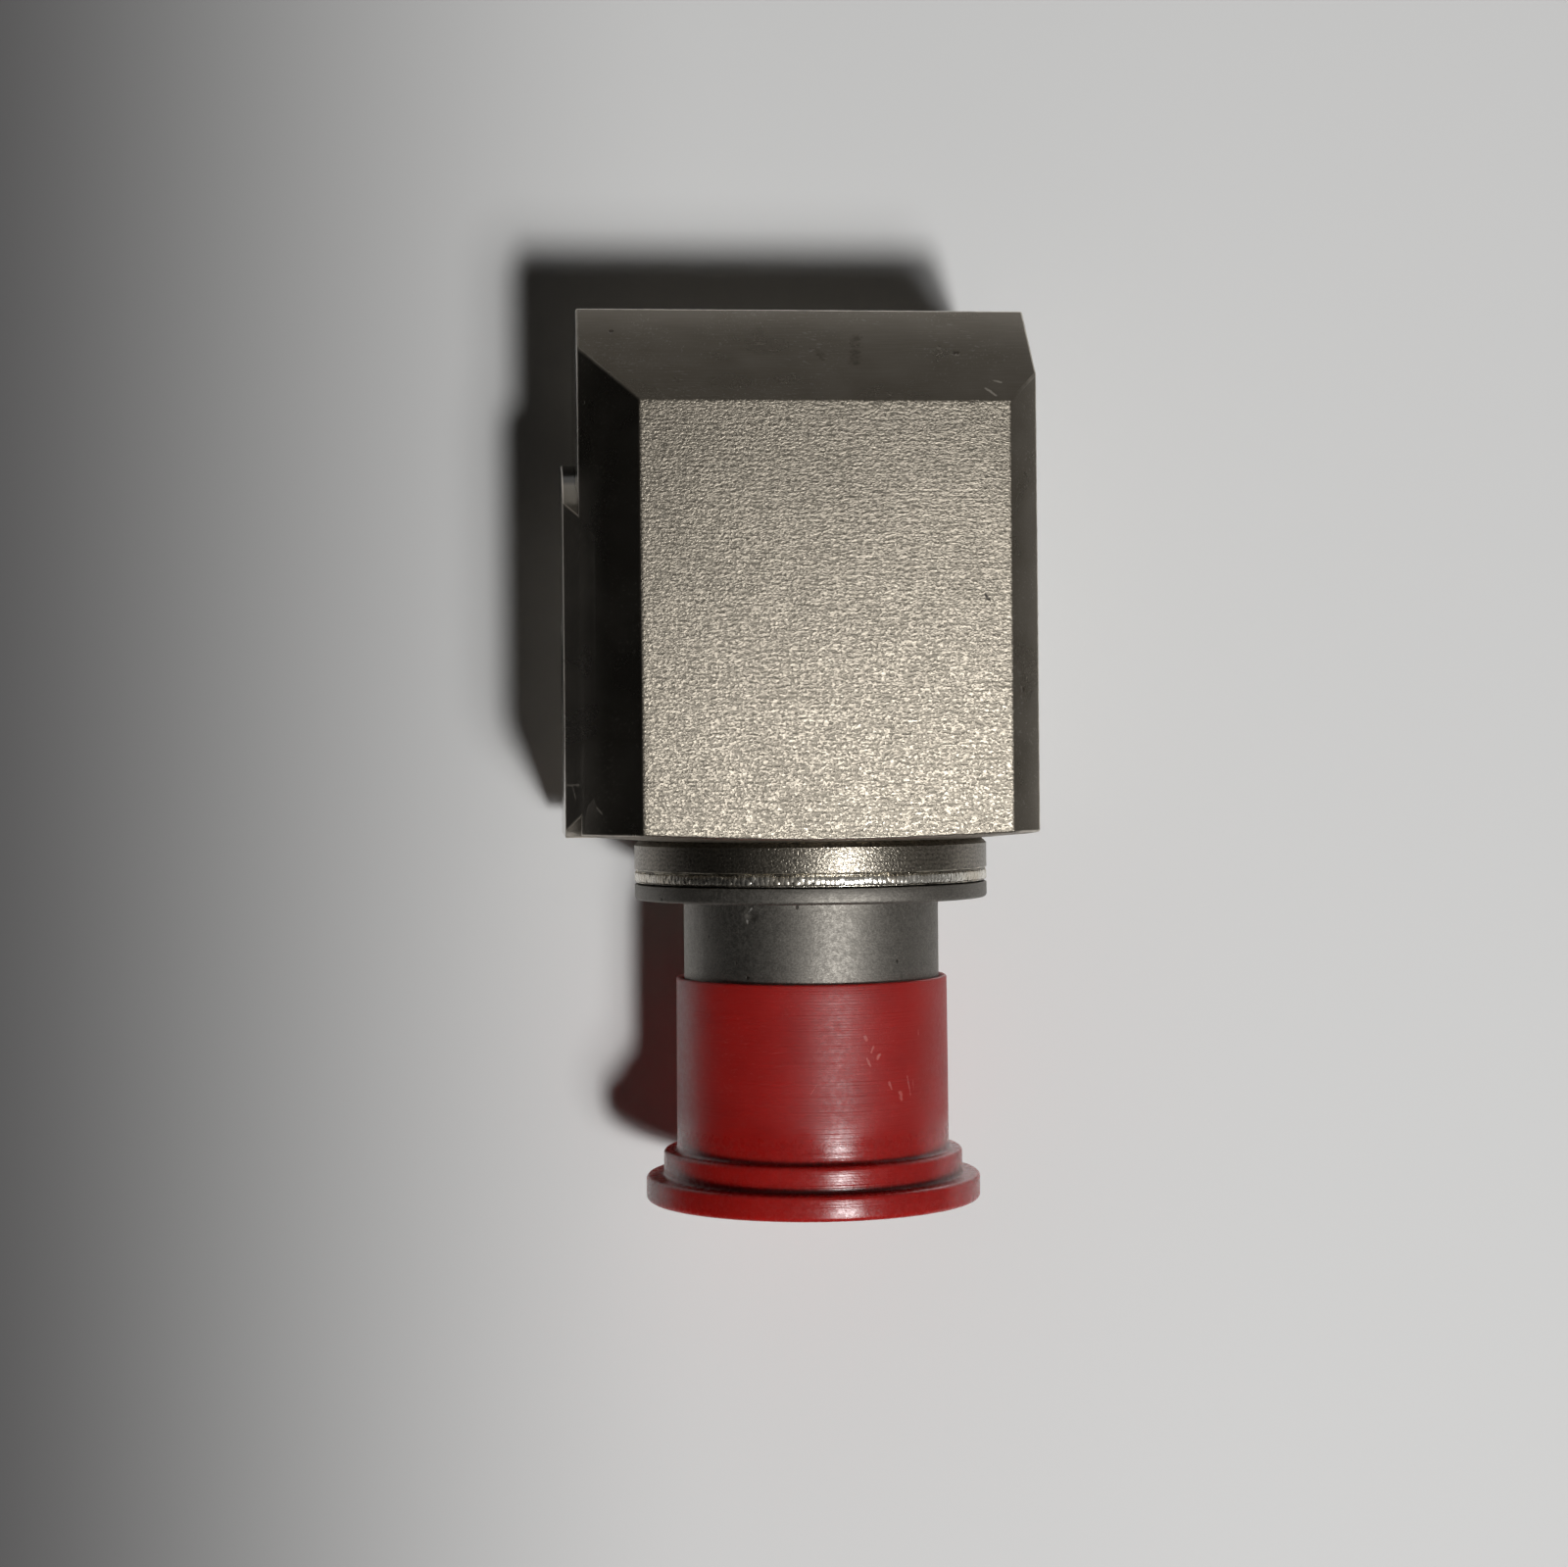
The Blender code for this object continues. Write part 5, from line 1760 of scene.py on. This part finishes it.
@dataclass
class Inside:
    """The element, the board and the contacts, whose shapes come from the frame as they are."""

    wearers: dict[InnerFinish, tuple[str, ...]] = field(default_factory=lambda: {
        InnerFinish("fired_glass", (0.02, 0.05, 0.035), (0.05, 0.10, 0.07), 0.0, 0.12, 1800.0, 0.000001):
            ("glass_seal",),
        InnerFinish("gold_plate", (0.78, 0.52, 0.20), (0.90, 0.64, 0.30), 1.0, 0.24, 6000.0, 0.000001):
            ("pin_a", "pin_b"),
        InnerFinish("crystal_ceramic", (0.62, 0.57, 0.44), (0.74, 0.69, 0.56), 0.0, 0.6):
            ("isolation_plate", "crystal_front", "crystal_rear"),
        InnerFinish("element_steel", (0.42, 0.40, 0.37), (0.58, 0.56, 0.52), 1.0, 0.3, 7000.0, 0.000002):
            ("element_post", "clamp_screw", "clamp_nut"),
        InnerFinish("tungsten_alloy", (0.20, 0.20, 0.21), (0.31, 0.31, 0.32), 1.0, 0.42, 5200.0):
            ("seismic_mass_front", "seismic_mass_rear"),
        InnerFinish("phosphor_bronze", (0.55, 0.34, 0.17), (0.72, 0.48, 0.26), 1.0, 0.3, 4000.0):
            ("signal_electrode", "shield_can"),
        InnerFinish("amber_film", (0.42, 0.18, 0.03), (0.55, 0.26, 0.05), 0.0, 0.32, 2000.0):
            ("insulating_sleeve", "insulating_washer_front", "insulating_washer_rear"),
        InnerFinish("green_laminate", (0.02, 0.10, 0.035), (0.05, 0.17, 0.06), 0.0, 0.4, 6500.0):
            ("circuit_board",),
        InnerFinish("black_moulding", (0.014, 0.014, 0.015), (0.03, 0.03, 0.031), 0.0, 0.5, 5200.0):
            ("amplifier_chip", "protection_diode"),
        InnerFinish("yellow_epoxy", (0.62, 0.40, 0.05), (0.74, 0.52, 0.09), 0.0, 0.42, 4200.0):
            ("coupling_capacitor",),
        InnerFinish("chip_ceramic", (0.50, 0.49, 0.46), (0.64, 0.63, 0.60), 0.0, 0.45, 5200.0):
            ("bias_resistor", "feedback_resistor"),
        InnerFinish("white_sleeve", (0.50, 0.50, 0.48), (0.64, 0.64, 0.61), 0.0, 0.36, 2400.0):
            ("signal_lead", "pin_lead_a", "pin_lead_b")})

    def build(self, effects: Effects, nodes: dict[str, Object]) -> None:
        """Give each node inside its material.

        Args:
            effects: the shader groups that finishes share.
            nodes: the frame's nodes by name.
        """
        for finish, names in self.wearers.items():
            material = finish.build(effects)
            for name in names:
                slots = nodes[name].data.materials
                slots.clear()
                slots.append(material)
                LOG.info("%s: %s", name, finish.name)


class Reach(enum.Enum):
    """What a lamp's light is seen in."""

    ALL = "all"
    SHADE = "shade"
    SHEEN = "sheen"


@dataclass
class Lamp:
    """An oval lamp with no bulb to be seen, aimed at the sensor."""

    name: str
    place: Vector
    size: tuple[float, float]
    power: float
    reach: Reach = Reach.ALL

    def build(self, aim: Vector) -> None:
        """Add the lamp.

        Args:
            aim: the point that it faces.
        """
        light = bpy.data.lights.new(self.name, "AREA")
        light.shape = "ELLIPSE"
        light.size, light.size_y = self.size
        light.energy = self.power
        lamp = bpy.data.objects.new(self.name, light)
        lamp.location = self.place
        lamp.rotation_mode = "QUATERNION"
        lamp.rotation_quaternion = (self.place - aim).to_track_quat("Z", "Y")
        lamp.visible_camera = False
        lamp.visible_glossy = self.reach is not Reach.SHADE
        lamp.visible_diffuse = self.reach is not Reach.SHEEN
        bpy.context.scene.collection.objects.link(lamp)


@dataclass
class Stage:
    """The pale sheet, the lamps, the surroundings and the camera."""

    aim: Vector = field(default_factory=lambda: Vector((0.0014, 0.0, 0.0149)))
    sheet_y: float = 0.0128
    sheet_reach: float = 0.1
    opening_middle: float = 0.01522
    opening_height: float = 0.0216
    opening_rear: float = -0.02089
    opening_inset: float = 0.0006
    surround_low: Colour = (0.010, 0.010, 0.010)
    surround_high: Colour = (0.15, 0.146, 0.14)
    surround_fade: tuple[float, float] = (-0.95, -0.1)
    surround_light: Colour = (0.014, 0.0135, 0.013)
    camera_place: Vector = field(default_factory=lambda: Vector((0.00092, -0.16967, -0.00212)))
    camera_right: Vector = field(default_factory=lambda: Vector((0.0094, -0.0931, 0.9956)))
    camera_up: Vector = field(default_factory=lambda: Vector((-1.0, 0.0016, 0.0095)))
    lens: float = 62.64
    film_width: float = 36.0
    clip: tuple[float, float] = (0.01, 10.0)
    lamps: tuple[Lamp, ...] = (
        Lamp("key", Vector((0.204, -0.6, 0.105)), (0.084, 0.066), 1.95, Reach.SHADE),
        Lamp("key_halo", Vector((0.225, -0.6, 0.148)), (0.17, 0.13), 1.25, Reach.SHADE),
        Lamp("sheen", Vector((0.160, -0.6, 0.190)), (0.12, 0.14), 2.9, Reach.SHEEN),
        Lamp("rear_high", Vector((-0.2, 0.28, 0.16)), (0.16, 0.16), 0.3),
        Lamp("rear_low", Vector((0.03, 0.25, -0.22)), (0.16, 0.16), 0.05))

    def make_sheet(self) -> None:
        """Add the sheet, open behind the block's far side."""
        low_z, high_z = (self.opening_middle + side * (self.opening_height / 2 - self.opening_inset)
                         for side in (-1.0, 1.0))
        low_x, high_x = self.opening_rear + self.opening_inset, FRONT_X - 2 * self.opening_inset
        inner = [(low_x, low_z), (high_x, low_z), (high_x, high_z), (low_x, high_z)]
        r = self.sheet_reach
        outer = [(self.aim.x + x, self.aim.z + z) for x, z in ((-r, -r), (r, -r), (r, r), (-r, r))]
        corners = [(x, self.sheet_y, z) for x, z in inner + outer]
        faces = [(k, (k + 1) % 4, (k + 1) % 4 + 4, k + 4) for k in range(4)]
        mesh = bpy.data.meshes.new("sheet")
        mesh.from_pydata(corners, [], faces)
        if mesh.polygons[0].normal.y > 0.0:
            mesh.flip_normals()
        sheet = add_object("sheet", mesh, [PaperSheet().build()])

    def make_world(self) -> None:
        """Make the surroundings: grey to the camera and to gloss, darkest below, and faint as a light."""
        world = bpy.data.worlds.new("surroundings")
        bpy.context.scene.world = world
        world.use_nodes = True
        graph = Graph(world.node_tree)
        direction = graph.node("ShaderNodeTexCoord").outputs["Generated"]
        high = graph.level(graph.split(direction)[2], *self.surround_fade)
        seen = graph.mix(high, self.surround_low, self.surround_high)
        rays = graph.node("ShaderNodeLightPath").outputs
        watched = graph.math("MAXIMUM", rays["Is Camera Ray"], rays["Is Glossy Ray"])
        watched = graph.math("MAXIMUM", watched, rays["Is Transmission Ray"])
        backdrop = world.node_tree.nodes["Background"]
        graph.feed(backdrop.inputs["Color"], graph.mix(watched, self.surround_light, seen))
        backdrop.inputs["Strength"].default_value = 1.0

    def make_camera(self) -> None:
        """Add the camera where the photograph was taken from."""
        data = bpy.data.cameras.new("camera")
        data.lens = self.lens
        data.sensor_width = self.film_width
        data.clip_start, data.clip_end = self.clip
        camera = bpy.data.objects.new("camera", data)
        back = self.camera_right.cross(self.camera_up).normalized()
        up = back.cross(self.camera_right).normalized()
        right = up.cross(back).normalized()
        turn_to = Matrix((right, up, back)).transposed()
        camera.matrix_world = Matrix.Translation(self.camera_place) @ turn_to.to_4x4()
        bpy.context.scene.collection.objects.link(camera)
        bpy.context.scene.camera = camera

    def build(self) -> None:
        """Set everything up round the sensor."""
        self.make_sheet()
        self.make_world()
        self.make_camera()
        for lamp in self.lamps:
            lamp.build(self.aim)
        bpy.context.scene.view_settings.view_transform = "Standard"
        LOG.info("stage: %d lamps", len(self.lamps))


def main() -> None:
    """Dress the sensor piece by piece, then set the stage."""
    logging.basicConfig(level=logging.INFO, format="%(name)s: %(message)s")
    effects = Effects()
    turned = TurnedSteel().build(effects)
    # The spot-faced finish has no painted reflection; painted shade darkens the boss's side below the block,
    # behind its rear station.
    spot_faced = MilledSteel("spot_faced_steel", base=(0.18, 0.161, 0.132), cloud=(0.20, 0.18, 0.15),
                             streak=(0.22, 0.20, 0.166), roughness=0.12, reflection_rear=1.0, shade_rear=-0.0169)
    grained = BlastedSteel("grained_collar_steel", pit=(0.12, 0.108, 0.09), crest=(0.36, 0.325, 0.27),
                           roughness=0.32, row_depth=0.000001, grain_depth=0.000011)
    housing = Housing()
    housing.build({Surface.MILLED: MilledSteel().build(effects),
                   Surface.BLASTED: BlastedSteel().build(effects),
                   Surface.BORED: turned,
                   Surface.COLLAR: grained.build(effects),
                   Surface.BOSS: spot_faced.build(effects)})
    housing.build_thread(turned)
    WeldSeam().build(WeldMetal().build(effects))
    connector = Connector()
    connector.build(turned)
    connector.build_thread(turned)
    Cap().build(CapPlastic().build(effects))
    Inside().build(effects, frame["nodes"])
    Stage().build()


if __name__ == "__main__":
    main()
